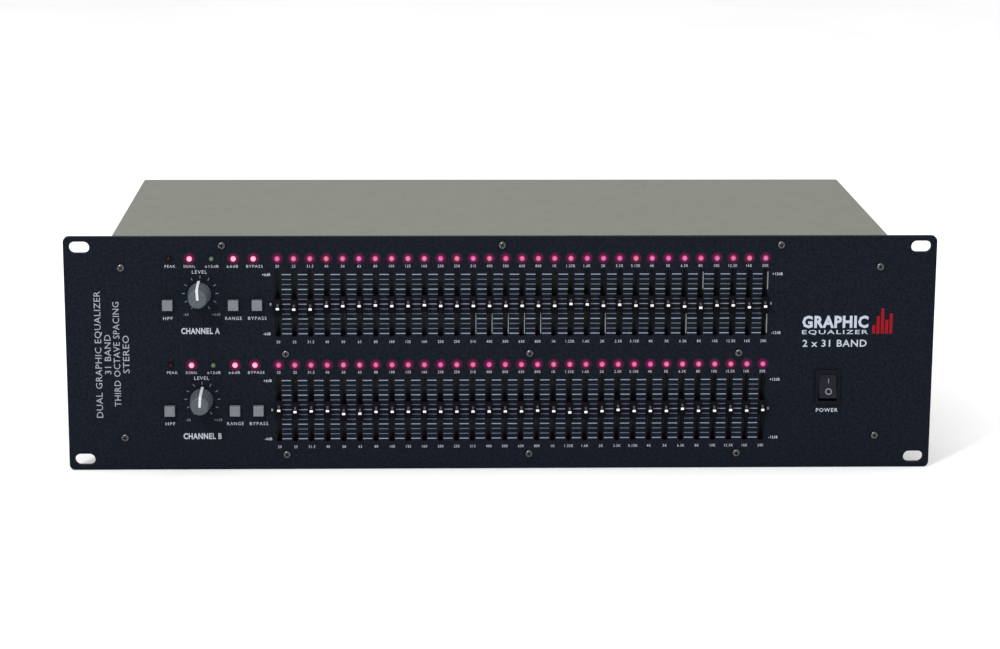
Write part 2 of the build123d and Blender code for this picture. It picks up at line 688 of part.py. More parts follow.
with BuildPart() as main_board:
    with BuildSketch(Plane.XY.offset(MAIN_BOARD_Z)):
        with Locations((MAIN_BOARD_X, board_middle_y)):
            Rectangle(MAIN_BOARD_WIDTH, board_length)
        with Locations(*standoff_places):
            Circle(SCREW_HOLE_RADIUS, mode=Mode.SUBTRACT)
    extrude(amount=BOARD_THICKNESS)
save(main_board, "main_board")

with BuildPart() as chip:
    with Locations((0, 0, CHIP_STAND + CHIP_HEIGHT / 2)):
        Box(CHIP_LENGTH, CHIP_WIDTH, CHIP_HEIGHT)
    leg_height = CHIP_STAND + CHIP_HEIGHT / 2
    with Locations((0, 0, leg_height / 2)):
        with GridLocations(CHIP_LEG_PITCH, CHIP_WIDTH + CHIP_LEG, 4, 2):
            Box(CHIP_LEG, CHIP_LEG, leg_height)

with BuildPart() as signal_chips:
    with Locations((MAIN_BOARD_X + CHIP_OFFSET[0], board_middle_y + CHIP_OFFSET[1], main_board_top)):
        with GridLocations(*CHIP_PITCH, CHIP_COLUMNS, CHIP_ROWS):
            add(chip.part)
save(signal_chips, "signal_chips")

power_zone_x = MAIN_BOARD_X + MAIN_BOARD_WIDTH / 2 - POWER_ZONE_INSET
fin_offset = (SINK_THICKNESS + FIN_LENGTH) / 2
regulator_offset = (SINK_THICKNESS + REGULATOR_THICKNESS) / 2
with BuildPart() as power_parts:
    # Smoothing capacitors.
    with BuildSketch(Plane.XY.offset(main_board_top)):
        with Locations((power_zone_x, board_middle_y)):
            with GridLocations(CAN_PITCH, CAN_PITCH, 2, 2):
                Circle(CAN_RADIUS)
    extrude(amount=CAN_HEIGHT)
    fillet(power_parts.edges().group_by(Axis.Z)[-1], CAN_EDGE)
    # Two regulators, each on its own finned heatsink.
    for sink_y in (board_middle_y - SINK_OFFSET, board_middle_y + SINK_OFFSET):
        sink_middle_z = main_board_top + SINK_HEIGHT / 2
        with Locations((power_zone_x, sink_y, sink_middle_z)):
            Box(SINK_WIDTH, SINK_THICKNESS, SINK_HEIGHT)
        with Locations((power_zone_x, sink_y + fin_offset, sink_middle_z)):
            with GridLocations(FIN_PITCH, 1, FIN_COUNT, 1):
                Box(FIN_THICKNESS, FIN_LENGTH, SINK_HEIGHT)
        body_z = main_board_top + REGULATOR_LEG_LENGTH + REGULATOR_HEIGHT / 2
        with Locations((power_zone_x, sink_y - regulator_offset, body_z)):
            Box(REGULATOR_WIDTH, REGULATOR_THICKNESS, REGULATOR_HEIGHT)
        with Locations((power_zone_x, sink_y - regulator_offset, main_board_top + REGULATOR_LEG_LENGTH / 2)):
            with GridLocations(CHIP_LEG_PITCH, 1, 3, 1):
                Box(REGULATOR_LEG_WIDTH, CHIP_LEG, REGULATOR_LEG_LENGTH)
save(power_parts, "power_parts")


# ---- transformer --------------------------------------------------------------------------

core_front = CORE_DEPTH - CORE_STACK / 2
core_back = CORE_DEPTH + CORE_STACK / 2
core_z = SHEET + FOOT_THICKNESS + CORE_HEIGHT / 2
window_width = (CORE_WIDTH - CORE_LIMB) / 2 - CORE_YOKE
window_height = CORE_HEIGHT - 2 * CORE_YOKE
window_x = CORE_LIMB / 2 + window_width / 2

with BuildPart() as transformer_core:
    add_box(CORE_X, core_z, CORE_WIDTH, CORE_HEIGHT, core_front, core_back)
    for side in (-1, 1):
        cut_box(CORE_X + side * window_x, core_z, window_width, window_height, core_front, core_back)
    add_box(CORE_X, SHEET + FOOT_THICKNESS / 2, FOOT_LENGTH, FOOT_THICKNESS, core_front, core_back)
    with BuildSketch(Plane.XY.offset(SHEET)):
        with Locations((CORE_X, FACE_Y + CORE_DEPTH)):
            with GridLocations(FOOT_LENGTH - 2 * FOOT_HOLE_INSET, 1, 2, 1):
                Circle(FOOT_HOLE_RADIUS)
    extrude(amount=FOOT_THICKNESS, mode=Mode.SUBTRACT)
save(transformer_core, "transformer_core")

coil_inner_x = CORE_LIMB + 2 * COIL_GAP
coil_outer_x = CORE_LIMB + 2 * (window_width - COIL_GAP)
coil_inner_y = CORE_STACK + 2 * COIL_GAP
coil_outer_y = CORE_STACK + 2 * window_width
coil_height = window_height - 2 * COIL_GAP
with BuildPart() as transformer_coil:
    with BuildSketch(Plane.XY.offset(core_z - coil_height / 2)):
        with Locations((CORE_X, FACE_Y + CORE_DEPTH)):
            RectangleRounded(coil_outer_x, coil_outer_y, COIL_CORNER)
            Rectangle(coil_inner_x, coil_inner_y, mode=Mode.SUBTRACT)
    extrude(amount=coil_height)
save(transformer_coil, "transformer_coil")


# ---- rear connectors ----------------------------------------------------------------------

shell_front = BODY_DEPTH + SOCKET_FLANGE_THICKNESS - SOCKET_DEPTH
mouth = BODY_DEPTH + SOCKET_FLANGE_THICKNESS
floor_depth = mouth - SOCKET_BORE_DEPTH


def contact_places(places):
    """The three contacts of each socket, on a circle."""
    angles = [math.radians(angle) for angle in CONTACT_ANGLES]
    return [
        (x + CONTACT_CIRCLE * math.cos(a), z + CONTACT_CIRCLE * math.sin(a))
        for x, z in places for a in angles
    ]


with BuildPart() as socket_shells:
    with BuildSketch(face_plane(shell_front)):
        with Locations(*socket_places):
            Circle(SOCKET_SHELL_RADIUS)
    extrude(amount=shell_front - mouth)
    with BuildSketch(face_plane(BODY_DEPTH)):
        with Locations(*socket_places):
            RectangleRounded(SOCKET_FLANGE_WIDTH, SOCKET_FLANGE_HEIGHT, SOCKET_FLANGE_CORNER)
    extrude(amount=-SOCKET_FLANGE_THICKNESS)
    with BuildSketch(face_plane(floor_depth)):
        with Locations(*socket_places):
            Circle(SOCKET_BORE_RADIUS)
    extrude(amount=-SOCKET_BORE_DEPTH, mode=Mode.SUBTRACT)
    with BuildSketch(face_plane(BODY_DEPTH)):
        with Locations(*flange_screws):
            Circle(SCREW_HOLE_RADIUS)
    extrude(amount=-SOCKET_FLANGE_THICKNESS, mode=Mode.SUBTRACT)

# Inputs have a core with three holes, outputs have three pins.
with BuildPart() as socket_cores:
    with BuildSketch(face_plane(floor_depth)):
        with Locations(*input_places):
            Circle(SOCKET_CORE_RADIUS)
        with Locations(*contact_places(input_places)):
            Circle(CONTACT_RADIUS + SHEET_GAP, mode=Mode.SUBTRACT)
    extrude(amount=-(SOCKET_BORE_DEPTH - SOCKET_CORE_DEPTH))

with BuildPart() as socket_pins:
    with BuildSketch(face_plane(floor_depth)):
        with Locations(*contact_places(output_places)):
            Circle(CONTACT_RADIUS)
    extrude(amount=-CONTACT_LENGTH)

socket_pieces = (socket_shells, socket_cores, socket_pins)
socket_children = [solid for piece in socket_pieces for solid in piece.part.solids()]
xlr_sockets = Compound(children=socket_children, label="xlr_sockets")
export_step(xlr_sockets, "parts/xlr_sockets.step")

jack_mouth = BODY_DEPTH + REAR_REACH
with BuildPart() as jack_sockets:
    with BuildSketch(face_plane(rear_inside - JACK_BODY_DEPTH)):
        with Locations(*jack_places):
            Rectangle(JACK_BODY_WIDTH, JACK_BODY_WIDTH)
    extrude(amount=-JACK_BODY_DEPTH)
    with BuildSketch(face_plane(rear_inside)):
        with Locations(*jack_places):
            Circle(JACK_BUSH_RADIUS)
    extrude(amount=rear_inside - jack_mouth)
    with BuildSketch(face_plane(BODY_DEPTH)):
        with Locations(*jack_places):
            RegularPolygon(JACK_NUT_ACROSS / 2, 6, major_radius=False)
    extrude(amount=-JACK_NUT_THICKNESS)
    with BuildSketch(face_plane(jack_mouth - JACK_BORE_LENGTH)):
        with Locations(*jack_places):
            Circle(JACK_BORE_RADIUS)
    extrude(amount=-JACK_BORE_LENGTH, mode=Mode.SUBTRACT)
save(jack_sockets, "jack_sockets")

inlet_mouth = BODY_DEPTH + INLET_FLANGE_THICKNESS
cavity_z = INLET_Z - INLET_CAVITY_DROP
cavity_floor = inlet_mouth - INLET_CAVITY_DEPTH
drawer_z = INLET_Z + FUSE_DRAWER_RISE
blade_places = [
    (INLET_X - BLADE_SPACING, cavity_z - BLADE_DROP),
    (INLET_X, cavity_z - BLADE_DROP + EARTH_BLADE_RISE),
    (INLET_X + BLADE_SPACING, cavity_z - BLADE_DROP),
]
with BuildPart() as inlet_body:
    add_box(INLET_X, INLET_Z, INLET_FLANGE_WIDTH, INLET_FLANGE_HEIGHT, BODY_DEPTH, inlet_mouth)
    fillet(inlet_body.edges().filter_by(Axis.Y), INLET_FLANGE_CORNER)
    add_box(INLET_X, INLET_Z, INLET_BODY_WIDTH, INLET_BODY_HEIGHT,
            inlet_mouth - INLET_BODY_DEPTH, BODY_DEPTH)
    with BuildSketch(face_plane(cavity_floor)):
        with Locations((INLET_X, cavity_z)):
            RectangleRounded(INLET_CAVITY_WIDTH, INLET_CAVITY_HEIGHT, INLET_CAVITY_CORNER)
    extrude(amount=-INLET_CAVITY_DEPTH, mode=Mode.SUBTRACT)
    cut_box(INLET_X, drawer_z, FUSE_DRAWER_WIDTH, FUSE_DRAWER_HEIGHT,
            inlet_mouth - FUSE_DRAWER_DEPTH, inlet_mouth)

with BuildPart() as inlet_blades:
    for x, z in blade_places:
        add_box(x, z, BLADE_WIDTH, BLADE_HEIGHT, cavity_floor, cavity_floor + BLADE_LENGTH)

with BuildPart() as fuse_drawer:
    add_box(INLET_X, drawer_z, FUSE_DRAWER_WIDTH, FUSE_DRAWER_HEIGHT,
            inlet_mouth - FUSE_DRAWER_DEPTH, inlet_mouth + FUSE_DRAWER_PROUD)
    cut_box(INLET_X, drawer_z, FUSE_DRAWER_WIDTH - 2 * FUSE_GRIP_INSET, FUSE_GRIP_HEIGHT,
            inlet_mouth, inlet_mouth + FUSE_DRAWER_PROUD)

inlet_children = [inlet_body.part, *inlet_blades.part.solids(), fuse_drawer.part]
power_inlet = Compound(children=inlet_children, label="power_inlet")
export_step(power_inlet, "parts/power_inlet.step")


# ---- leads held inside --------------------------------------------------------------------

def lead(points):
    """A round lead along straight runs joined by arcs."""
    with BuildPart() as cable:
        with BuildLine() as route:
            FilletPolyline(*points, radius=LEAD_BEND)
        start = route.line @ 0
        along = route.line % 0
        with BuildSketch(Plane(origin=start, z_dir=along)):
            Circle(LEAD_RADIUS)
        sweep()
    return cable.part


board_back = BOARD_FRONT + BOARD_THICKNESS
ribbon_front = FACE_Y + board_back
leads = []
# Ribbon cables from the slider boards down to the main board.
for ribbon_x, top_z, landing in RIBBONS:
    landing_y = FACE_Y + landing
    with BuildPart() as ribbon:
        with BuildSketch(Plane.YZ.offset(ribbon_x)):
            with BuildLine() as path:
                FilletPolyline(
                    (ribbon_front, top_z),
                    (landing_y, top_z),
                    (landing_y, main_board_top),
                    radius=RIBBON_BEND,
                )
            trace(path.line, RIBBON_THICKNESS)
        extrude(amount=RIBBON_WIDTH / 2, both=True)
    leads.append(ribbon.part)

# Mains leads: inlet to power switch, and power switch to transformer.
inlet_tail_y = FACE_Y + inlet_mouth - INLET_BODY_DEPTH
switch_tail_y = FACE_Y + SWITCH_BODY_BACK + TERMINAL_LENGTH
side_run_z = INLET_Z + SIDE_RUN_RISE
for offset in (-LEAD_SPREAD, LEAD_SPREAD):
    inlet_x = INLET_X + offset
    side_run_x = inlet_x + SIDE_RUN_SHIFT
    leads.append(lead([
        (inlet_x, inlet_tail_y, INLET_Z),
        (inlet_x, inlet_tail_y - INLET_LEAD_RUN, INLET_Z),
        (side_run_x, inlet_tail_y - SIDE_RUN_BACK, side_run_z),
        (side_run_x, FACE_Y + SIDE_RUN_FRONT_DEPTH, side_run_z),
        (ROCKER_X, FACE_Y + SWITCH_LEAD_DEPTH, ROCKER_Z + offset),
        (ROCKER_X, switch_tail_y, ROCKER_Z + offset),
    ]))
switch_side_depth, coil_side_depth = COIL_LEAD_DEPTHS
leads.append(lead([
    (ROCKER_X, switch_tail_y, ROCKER_Z),
    (ROCKER_X, FACE_Y + switch_side_depth, ROCKER_Z),
    (CORE_X, FACE_Y + coil_side_depth, core_z),
    (CORE_X, FACE_Y + CORE_DEPTH - coil_outer_y / 2, core_z),
]))
wiring_looms = Compound(children=leads, label="wiring_looms")
export_step(wiring_looms, "parts/wiring_looms.step")


# ---- screws, pillars and standoffs --------------------------------------------------------

with BuildPart() as screw:
    with BuildSketch(face_plane(0)):
        Circle(SCREW_HEAD_RADIUS)
    extrude(amount=SCREW_HEAD_HEIGHT)
    fillet(screw.edges().group_by(Axis.Y)[0], SCREW_HEAD_EDGE)
    with BuildSketch(face_plane(0)):
        Circle(SCREW_RADIUS)
    extrude(amount=-SCREW_LENGTH)
    with BuildSketch(face_plane(-SCREW_HEAD_HEIGHT)):
        Rectangle(RECESS_LENGTH, RECESS_WIDTH)
        Rectangle(RECESS_WIDTH, RECESS_LENGTH)
    extrude(amount=-RECESS_DEPTH, mode=Mode.SUBTRACT)

fasteners = [screw.part.moved(Location((x, 0, z))) for x, z in PANEL_SCREWS]

# Pillars carry the slider boards, from the panel's back or the tray's front lip.
for row, start in ((MIDDLE_ROW, PANEL_THICKNESS), (BOTTOM_ROW, PANEL_THICKNESS + SHEET)):
    for x, z in row:
        with BuildPart() as board_pillar:
            with BuildSketch(face_plane(start)):
                with Locations((x, z)):
                    Circle(PILLAR_RADIUS)
                    Circle(SCREW_HOLE_RADIUS, mode=Mode.SUBTRACT)
            extrude(amount=start - BOARD_FRONT)
        fasteners.append(board_pillar.part)

# Standoffs under the main board.
for x, y in standoff_places:
    with BuildPart() as standoff:
        with BuildSketch(Plane.XY.offset(SHEET)):
            with Locations((x, y)):
                Circle(PILLAR_RADIUS)
        extrude(amount=MAIN_BOARD_Z - SHEET)
    fasteners.append(standoff.part)

# Screws in the cover's sides, heads outwards.
side_places = [(depth, COVER_SCREW_Z) for depth in COVER_SCREW_DEPTHS] + [(REAR_SCREW_DEPTH, REAR_SCREW_Z)]
upright_screw = screw.part.moved(Location((0, -FACE_Y, 0)))
for side in (-1, 1):
    turned = upright_screw.rotate(Axis.Z, 90 * side)
    for depth, z in side_places:
        fasteners.append(turned.moved(Location((side * BODY_WIDTH / 2, FACE_Y + depth, z))))

# Screws in the sockets' flanges, heads to the rear.
rear_screw = upright_screw.rotate(Axis.Z, 180)
for x, z in flange_screws:
    fasteners.append(rear_screw.moved(Location((x, FACE_Y + mouth, z))))

screws_and_standoffs = Compound(children=fasteners, label="screws_and_standoffs")
export_step(screws_and_standoffs, "parts/screws_and_standoffs.step")
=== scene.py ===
import math

import bmesh
import bpy
from mathutils import Matrix, Vector


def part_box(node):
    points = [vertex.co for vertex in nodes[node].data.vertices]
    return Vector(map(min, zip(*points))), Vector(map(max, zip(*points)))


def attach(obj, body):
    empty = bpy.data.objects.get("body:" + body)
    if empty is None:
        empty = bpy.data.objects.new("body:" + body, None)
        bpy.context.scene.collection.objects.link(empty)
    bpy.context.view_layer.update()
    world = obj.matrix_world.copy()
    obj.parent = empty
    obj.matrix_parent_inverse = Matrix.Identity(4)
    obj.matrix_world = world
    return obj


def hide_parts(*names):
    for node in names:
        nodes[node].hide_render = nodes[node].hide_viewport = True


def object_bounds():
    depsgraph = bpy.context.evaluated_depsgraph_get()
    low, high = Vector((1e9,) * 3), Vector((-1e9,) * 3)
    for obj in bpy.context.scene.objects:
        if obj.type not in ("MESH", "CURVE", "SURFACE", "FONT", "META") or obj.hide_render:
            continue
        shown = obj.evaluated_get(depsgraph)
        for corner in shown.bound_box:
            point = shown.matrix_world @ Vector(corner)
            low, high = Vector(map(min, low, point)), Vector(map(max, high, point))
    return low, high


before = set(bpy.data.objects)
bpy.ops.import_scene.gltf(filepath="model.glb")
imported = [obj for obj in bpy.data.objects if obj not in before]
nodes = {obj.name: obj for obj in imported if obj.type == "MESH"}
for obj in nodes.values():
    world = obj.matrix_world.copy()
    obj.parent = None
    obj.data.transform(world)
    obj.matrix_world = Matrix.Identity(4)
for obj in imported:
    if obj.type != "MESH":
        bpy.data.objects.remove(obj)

cad_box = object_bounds()

# The looks of a two-channel graphic equalizer, in metres, around its CAD frame.
# Small sizes are given in millimetres and turned into metres by MM.
MM = 0.001


# ---- places read from the frame -----------------------------------------------------------

def centre(node):
    """The middle of a node's box."""
    low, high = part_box(node)
    return (low + high) / 2


FACE_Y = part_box("front_panel")[0].y
BACK_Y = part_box("chassis_tray")[1].y
BAND_NODES = [name for name in nodes if name.startswith("slider_") and name != "slider_boards"]
BAND_NODES.sort(key=lambda name: centre(name).x)
BAND_X = [centre(name).x for name in BAND_NODES]
PITCH = BAND_X[1] - BAND_X[0]
CAP_HALF = 4.75 * MM
LAMP_FLANGE = 1.9 * MM
LAMP_RADIUS, LAMP_SHANK = 1.5, 0.6
LAMP_PROUD = 2.1 * MM
ZERO_BAND = "slider_200hz"
ZERO_Z = [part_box(ZERO_BAND)[1].z - CAP_HALF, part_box(ZERO_BAND)[0].z + CAP_HALF]
LAMP_Z = [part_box("band_leds")[1].z - LAMP_FLANGE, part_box("band_leds")[0].z + LAMP_FLANGE]
KNOB = [centre("level_knob_a"), centre("level_knob_b")]
DROP = KNOB[0].z - KNOB[1].z
# Half sizes of the balanced sockets' flanges and of the jack sockets, at the rear.
SOCKET_HALF_X, SOCKET_HALF_Z, JACK_HALF = 13 * MM, 15.5 * MM, 8 * MM
RED_LIGHT = (0.112, 0.001, 0.035)


# ---- node materials -----------------------------------------------------------------------

def new_material(name):
    """An empty node material, with its node tree and its shader."""
    material = bpy.data.materials.new(name)
    material.use_nodes = True
    return material, material.node_tree, material.node_tree.nodes["Principled BSDF"]


def surface(name, dark, light, grain, bump=0.1, bump_grain=None, rough=(0.4, 0.5), metallic=0.0,
            stretch=(1, 1, 1), specular=0.5):
    """A finish that varies between two colours, with its own roughness range and fine relief."""
    material, tree, shader = new_material(name)
    where = tree.nodes.new("ShaderNodeTexCoord")
    scaled = tree.nodes.new("ShaderNodeMapping")
    scaled.inputs["Scale"].default_value = stretch
    tree.links.new(where.outputs["Object"], scaled.inputs["Vector"])
    clouds = tree.nodes.new("ShaderNodeTexNoise")
    clouds.inputs["Scale"].default_value = grain
    clouds.inputs["Detail"].default_value = 6.0
    tree.links.new(scaled.outputs["Vector"], clouds.inputs["Vector"])
    ramp = tree.nodes.new("ShaderNodeValToRGB")
    ramp.color_ramp.elements[0].position = 0.3
    ramp.color_ramp.elements[1].position = 0.7
    ramp.color_ramp.elements[0].color = (*dark, 1)
    ramp.color_ramp.elements[1].color = (*light, 1)
    tree.links.new(clouds.outputs["Fac"], ramp.inputs["Fac"])
    tree.links.new(ramp.outputs["Color"], shader.inputs["Base Color"])
    fine = tree.nodes.new("ShaderNodeTexNoise")
    fine.inputs["Scale"].default_value = bump_grain or grain * 6
    fine.inputs["Detail"].default_value = 3.0
    tree.links.new(scaled.outputs["Vector"], fine.inputs["Vector"])
    gloss = tree.nodes.new("ShaderNodeMapRange")
    gloss.inputs["From Min"].default_value = 0.3
    gloss.inputs["From Max"].default_value = 0.7
    gloss.inputs["To Min"].default_value = rough[0]
    gloss.inputs["To Max"].default_value = rough[1]
    tree.links.new(fine.outputs["Fac"], gloss.inputs["Value"])
    tree.links.new(gloss.outputs["Result"], shader.inputs["Roughness"])
    relief = tree.nodes.new("ShaderNodeBump")
    relief.inputs["Strength"].default_value = bump
    relief.inputs["Distance"].default_value = 0.1 * MM
    tree.links.new(fine.outputs["Fac"], relief.inputs["Height"])
    tree.links.new(relief.outputs["Normal"], shader.inputs["Normal"])
    shader.inputs["Metallic"].default_value = metallic
    shader.inputs["Specular IOR Level"].default_value = specular
    return material


def maths(tree, operation, first, second=None):
    """One step of arithmetic between sockets or numbers."""
    node = tree.nodes.new("ShaderNodeMath")
    node.operation = operation
    for socket, value in zip(node.inputs, (first, second)):
        if isinstance(value, (int, float)):
            socket.default_value = value
        elif value is not None:
            tree.links.new(value, socket)
    return node.outputs[0]


def object_axes(tree):
    """The X, Y and Z of a point on the object, as sockets."""
    where = tree.nodes.new("ShaderNodeTexCoord")
    split = tree.nodes.new("ShaderNodeSeparateXYZ")
    tree.links.new(where.outputs["Object"], split.inputs["Vector"])
    return split.outputs


def repeated(tree, axis, start, pitch):
    """How far a point is from the nearest of a row of places, along one axis."""
    steps = maths(tree, "DIVIDE", maths(tree, "SUBTRACT", axis, start), pitch)
    nearest = maths(tree, "ROUND", steps)
    return maths(tree, "MULTIPLY", maths(tree, "SUBTRACT", steps, nearest), pitch), nearest


def radius_from_places(tree, axes, x, pitch_x, z, pitch_z):
    """The distance to the nearest axis of a grid of axes that run along Y."""
    across, column = repeated(tree, axes["X"], x, pitch_x)
    up, row = repeated(tree, axes["Z"], z, pitch_z)
    squares = maths(tree, "ADD", maths(tree, "POWER", maths(tree, "ABSOLUTE", across), 2),
                    maths(tree, "POWER", maths(tree, "ABSOLUTE", up), 2))
    return maths(tree, "SQRT", squares), column, row


def lamp_lens(name, tip, body, rim, strength, variety):
    """A lamp lens, hottest at its tip and dimmer to its rim. Lamps of a row differ by variety."""
    material, tree, shader = new_material(name)
    axes = object_axes(tree)
    depth = tree.nodes.new("ShaderNodeMapRange")
    depth.inputs["From Min"].default_value = FACE_Y - LAMP_PROUD
    depth.inputs["From Max"].default_value = FACE_Y
    tree.links.new(axes["Y"], depth.inputs["Value"])
    ramp = tree.nodes.new("ShaderNodeValToRGB")
    ramp.color_ramp.interpolation = "EASE"
    ramp.color_ramp.elements[0].color = (*tip, 1)
    ramp.color_ramp.elements[1].color = (*rim, 1)
    middle = ramp.color_ramp.elements.new(0.35)
    middle.color = (*body, 1)
    tree.links.new(depth.outputs["Result"], ramp.inputs["Fac"])
    colour = ramp.outputs["Color"]
    if variety:
        _, column, row = radius_from_places(tree, axes, BAND_X[0], PITCH, LAMP_Z[0], DROP)
        seed = tree.nodes.new("ShaderNodeCombineXYZ")
        tree.links.new(column, seed.inputs["X"])
        tree.links.new(row, seed.inputs["Y"])
        chance = tree.nodes.new("ShaderNodeTexWhiteNoise")
        tree.links.new(seed.outputs["Vector"], chance.inputs["Vector"])
        tint = tree.nodes.new("ShaderNodeVectorMath")
        tint.operation = "MULTIPLY_ADD"
        tree.links.new(chance.outputs["Color"], tint.inputs[0])
        tint.inputs[1].default_value = (variety, 3 * variety, 2 * variety)
        tint.inputs[2].default_value = (1 - variety / 2, 1 - 1.5 * variety, 1 - variety)
        tinted = tree.nodes.new("ShaderNodeVectorMath")
        tinted.operation = "MULTIPLY"
        tree.links.new(colour, tinted.inputs[0])
        tree.links.new(tint.outputs["Vector"], tinted.inputs[1])
        colour = tinted.outputs["Vector"]
    if strength:
        shader.inputs["Emission Strength"].default_value = strength
        tree.links.new(colour, shader.inputs["Emission Color"])
        dark = tree.nodes.new("ShaderNodeVectorMath")
        dark.operation = "SCALE"
        dark.inputs["Scale"].default_value = 0.05
        tree.links.new(colour, dark.inputs[0])
        colour = dark.outputs["Vector"]
    tree.links.new(colour, shader.inputs["Base Color"])
    shader.inputs["Roughness"].default_value = 0.12
    shader.inputs["Specular IOR Level"].default_value = 0.4 if strength else 0.12
    return material


def lit_paint(name, x, pitch, reach):
    """The panel's paint close round a lamp, where the lamp's light spills on it."""
    material = surface(name, *PANEL_COLOURS, 700, **PANEL_FINISH)
    tree = material.node_tree
    shader = tree.nodes["Principled BSDF"]
    radius, _, _ = radius_from_places(tree, object_axes(tree), x, pitch, LAMP_Z[0], DROP)
    fade = tree.nodes.new("ShaderNodeMapRange")
    fade.interpolation_type = "SMOOTHERSTEP"
    fade.inputs["From Min"].default_value = 1.5 * MM
    fade.inputs["From Max"].default_value = reach
    fade.inputs["To Min"].default_value = 1.0
    fade.inputs["To Max"].default_value = 0.0
    tree.links.new(radius, fade.inputs["Value"])
    glow = tree.nodes.new("ShaderNodeVectorMath")
    glow.operation = "SCALE"
    glow.inputs[0].default_value = RED_LIGHT
    tree.links.new(fade.outputs["Result"], glow.inputs["Scale"])
    tree.links.new(glow.outputs["Vector"], shader.inputs["Emission Color"])
    shader.inputs["Emission Strength"].default_value = 1.0
    return material


def metal_where(name, mask_of, plastic=(0.012, 0.012, 0.014), metal=(0.45, 0.45, 0.43)):
    """Black plastic with metal where the mask is one. mask_of builds the mask from X, Y and Z."""
    lighter = tuple(channel * 1.5 for channel in plastic)
    material = surface(name, plastic, lighter, 500, bump=0.12, rough=(0.35, 0.5))
    tree = material.node_tree
    shader = tree.nodes["Principled BSDF"]
    mask = mask_of(tree, object_axes(tree))
    tree.links.new(mask, shader.inputs["Metallic"])
    plain = shader.inputs["Base Color"].links[0].from_socket
    brushed = tree.nodes.new("ShaderNodeTexNoise")
    brushed.inputs["Scale"].default_value = 300
    shine = tree.nodes.new("ShaderNodeMix")
    shine.data_type = "RGBA"
    shine.inputs["A"].default_value = (*metal, 1)
    shine.inputs["B"].default_value = (*[channel * 0.7 for channel in metal], 1)
    tree.links.new(brushed.outputs["Fac"], shine.inputs["Factor"])
    blend = tree.nodes.new("ShaderNodeMix")
    blend.data_type = "RGBA"
    tree.links.new(mask, blend.inputs["Factor"])
    tree.links.new(plain, blend.inputs["A"])
    tree.links.new(shine.outputs["Result"], blend.inputs["B"])
    tree.links.new(blend.outputs["Result"], shader.inputs["Base Color"])
    return material


PANEL_COLOURS = ((0.0029, 0.0044, 0.0075), (0.0076, 0.0106, 0.0182))
PANEL_FINISH = dict(bump=0.35, bump_grain=1500, rough=(0.45, 0.62), specular=0.035)
PANEL = surface("panel_paint", *PANEL_COLOURS, 700, **PANEL_FINISH)
CASE = surface("case_paint", (0.107, 0.110, 0.090), (0.117, 0.120, 0.099), 90, bump=0.12,
               bump_grain=1500, rough=(0.5, 0.62), specular=0.3)
CAP = surface("cap_plastic", (0.0020, 0.0022, 0.0028), (0.0036, 0.0038, 0.0046), 900, bump=0.15,
              rough=(0.45, 0.6), specular=0.035)
# The index line over the cap's ridge: print whose dim grey is painted light for the lit slope.
PAINTED_LIGHT_RIDGE = surface("ridge_line_painted_light", (0.045, 0.045, 0.048), (0.065, 0.065, 0.068), 1500, bump=0.05,
                rough=(0.5, 0.6), specular=0.2)
MARK = surface("index_white", (0.70, 0.71, 0.72), (0.82, 0.83, 0.84), 1500, bump=0.05, rough=(0.4, 0.5))
POINTER = surface("pointer_white", (0.46, 0.47, 0.48), (0.56, 0.57, 0.58), 1500, bump=0.05,
                  rough=(0.45, 0.55), specular=0.2)
KNOB_GREY = surface("knob_plastic", (0.049, 0.061, 0.070), (0.075, 0.090, 0.104), 700, bump=0.3,
                    rough=(0.5, 0.65), specular=0.2)
BUTTON = surface("button_plastic", (0.123, 0.135, 0.150), (0.148, 0.163, 0.180), 500, bump=0.12,
                 rough=(0.45, 0.6), specular=0.2)
ROCKER = surface("rocker_plastic", (0.009, 0.010, 0.015), (0.013, 0.014, 0.021), 600, bump=0.1,
                 rough=(0.35, 0.5), specular=0.06)
BEZEL = surface("bezel_plastic", (0.004, 0.005, 0.007), (0.007, 0.008, 0.011), 600, bump=0.1,
                rough=(0.45, 0.6), specular=0.04)
BLACK = surface("moulded_black", (0.010, 0.010, 0.012), (0.018, 0.018, 0.020), 500, bump=0.15,
                rough=(0.45, 0.6))
PRINT = surface("print_white", (0.35, 0.39, 0.46), (0.43, 0.475, 0.55), 1200, bump=0.05, rough=(0.5, 0.6),
                specular=0.2)
PRINT_SOFT = surface("print_soft", (0.33, 0.35, 0.40), (0.42, 0.44, 0.49), 1200, bump=0.05, rough=(0.5, 0.6))
PRINT_DIM = surface("print_grey", (0.085, 0.098, 0.135), (0.120, 0.135, 0.175), 1200, bump=0.05,
                    rough=(0.5, 0.6), specular=0.2)
PRINT_LINE = surface("print_line", (0.175, 0.20, 0.27), (0.235, 0.265, 0.345), 1200, bump=0.05,
                     rough=(0.5, 0.6), specular=0.2)
PRINT_SIDE = surface("print_side", (0.225, 0.245, 0.275), (0.285, 0.305, 0.345), 1200, bump=0.05,
                     rough=(0.5, 0.6), specular=0.2)
PRINT_TICK = surface("print_tick", (0.11, 0.12, 0.13), (0.15, 0.16, 0.17), 1200, bump=0.05, rough=(0.5, 0.6))
PRINT_RED = surface("print_red", (0.20, 0.004, 0.009), (0.27, 0.007, 0.014), 900, bump=0.05,
                    rough=(0.5, 0.6), specular=0.05)
PRINT_BLACK = surface("print_black", (0.012, 0.012, 0.014), (0.022, 0.022, 0.024), 900, bump=0.05,
                      rough=(0.5, 0.6))
SCREW = surface("screw_black", (0.018, 0.018, 0.020), (0.035, 0.035, 0.038), 500, bump=0.1,
                rough=(0.16, 0.26), metallic=1.0)
SCREW_SHINE = surface("screw_shine", (0.07, 0.071, 0.076), (0.13, 0.132, 0.139), 500, bump=0.05,
                      rough=(0.2, 0.28), metallic=1.0)
# Near black inside the screws' cross recesses: painted shade where the recess lies in shadow.
PAINTED_SHADE_RECESS = surface("screw_recess_painted_shade", (0.002, 0.002, 0.002), (0.006, 0.006, 0.006), 500, bump=0.1,
                 rough=(0.5, 0.7), specular=0.05)
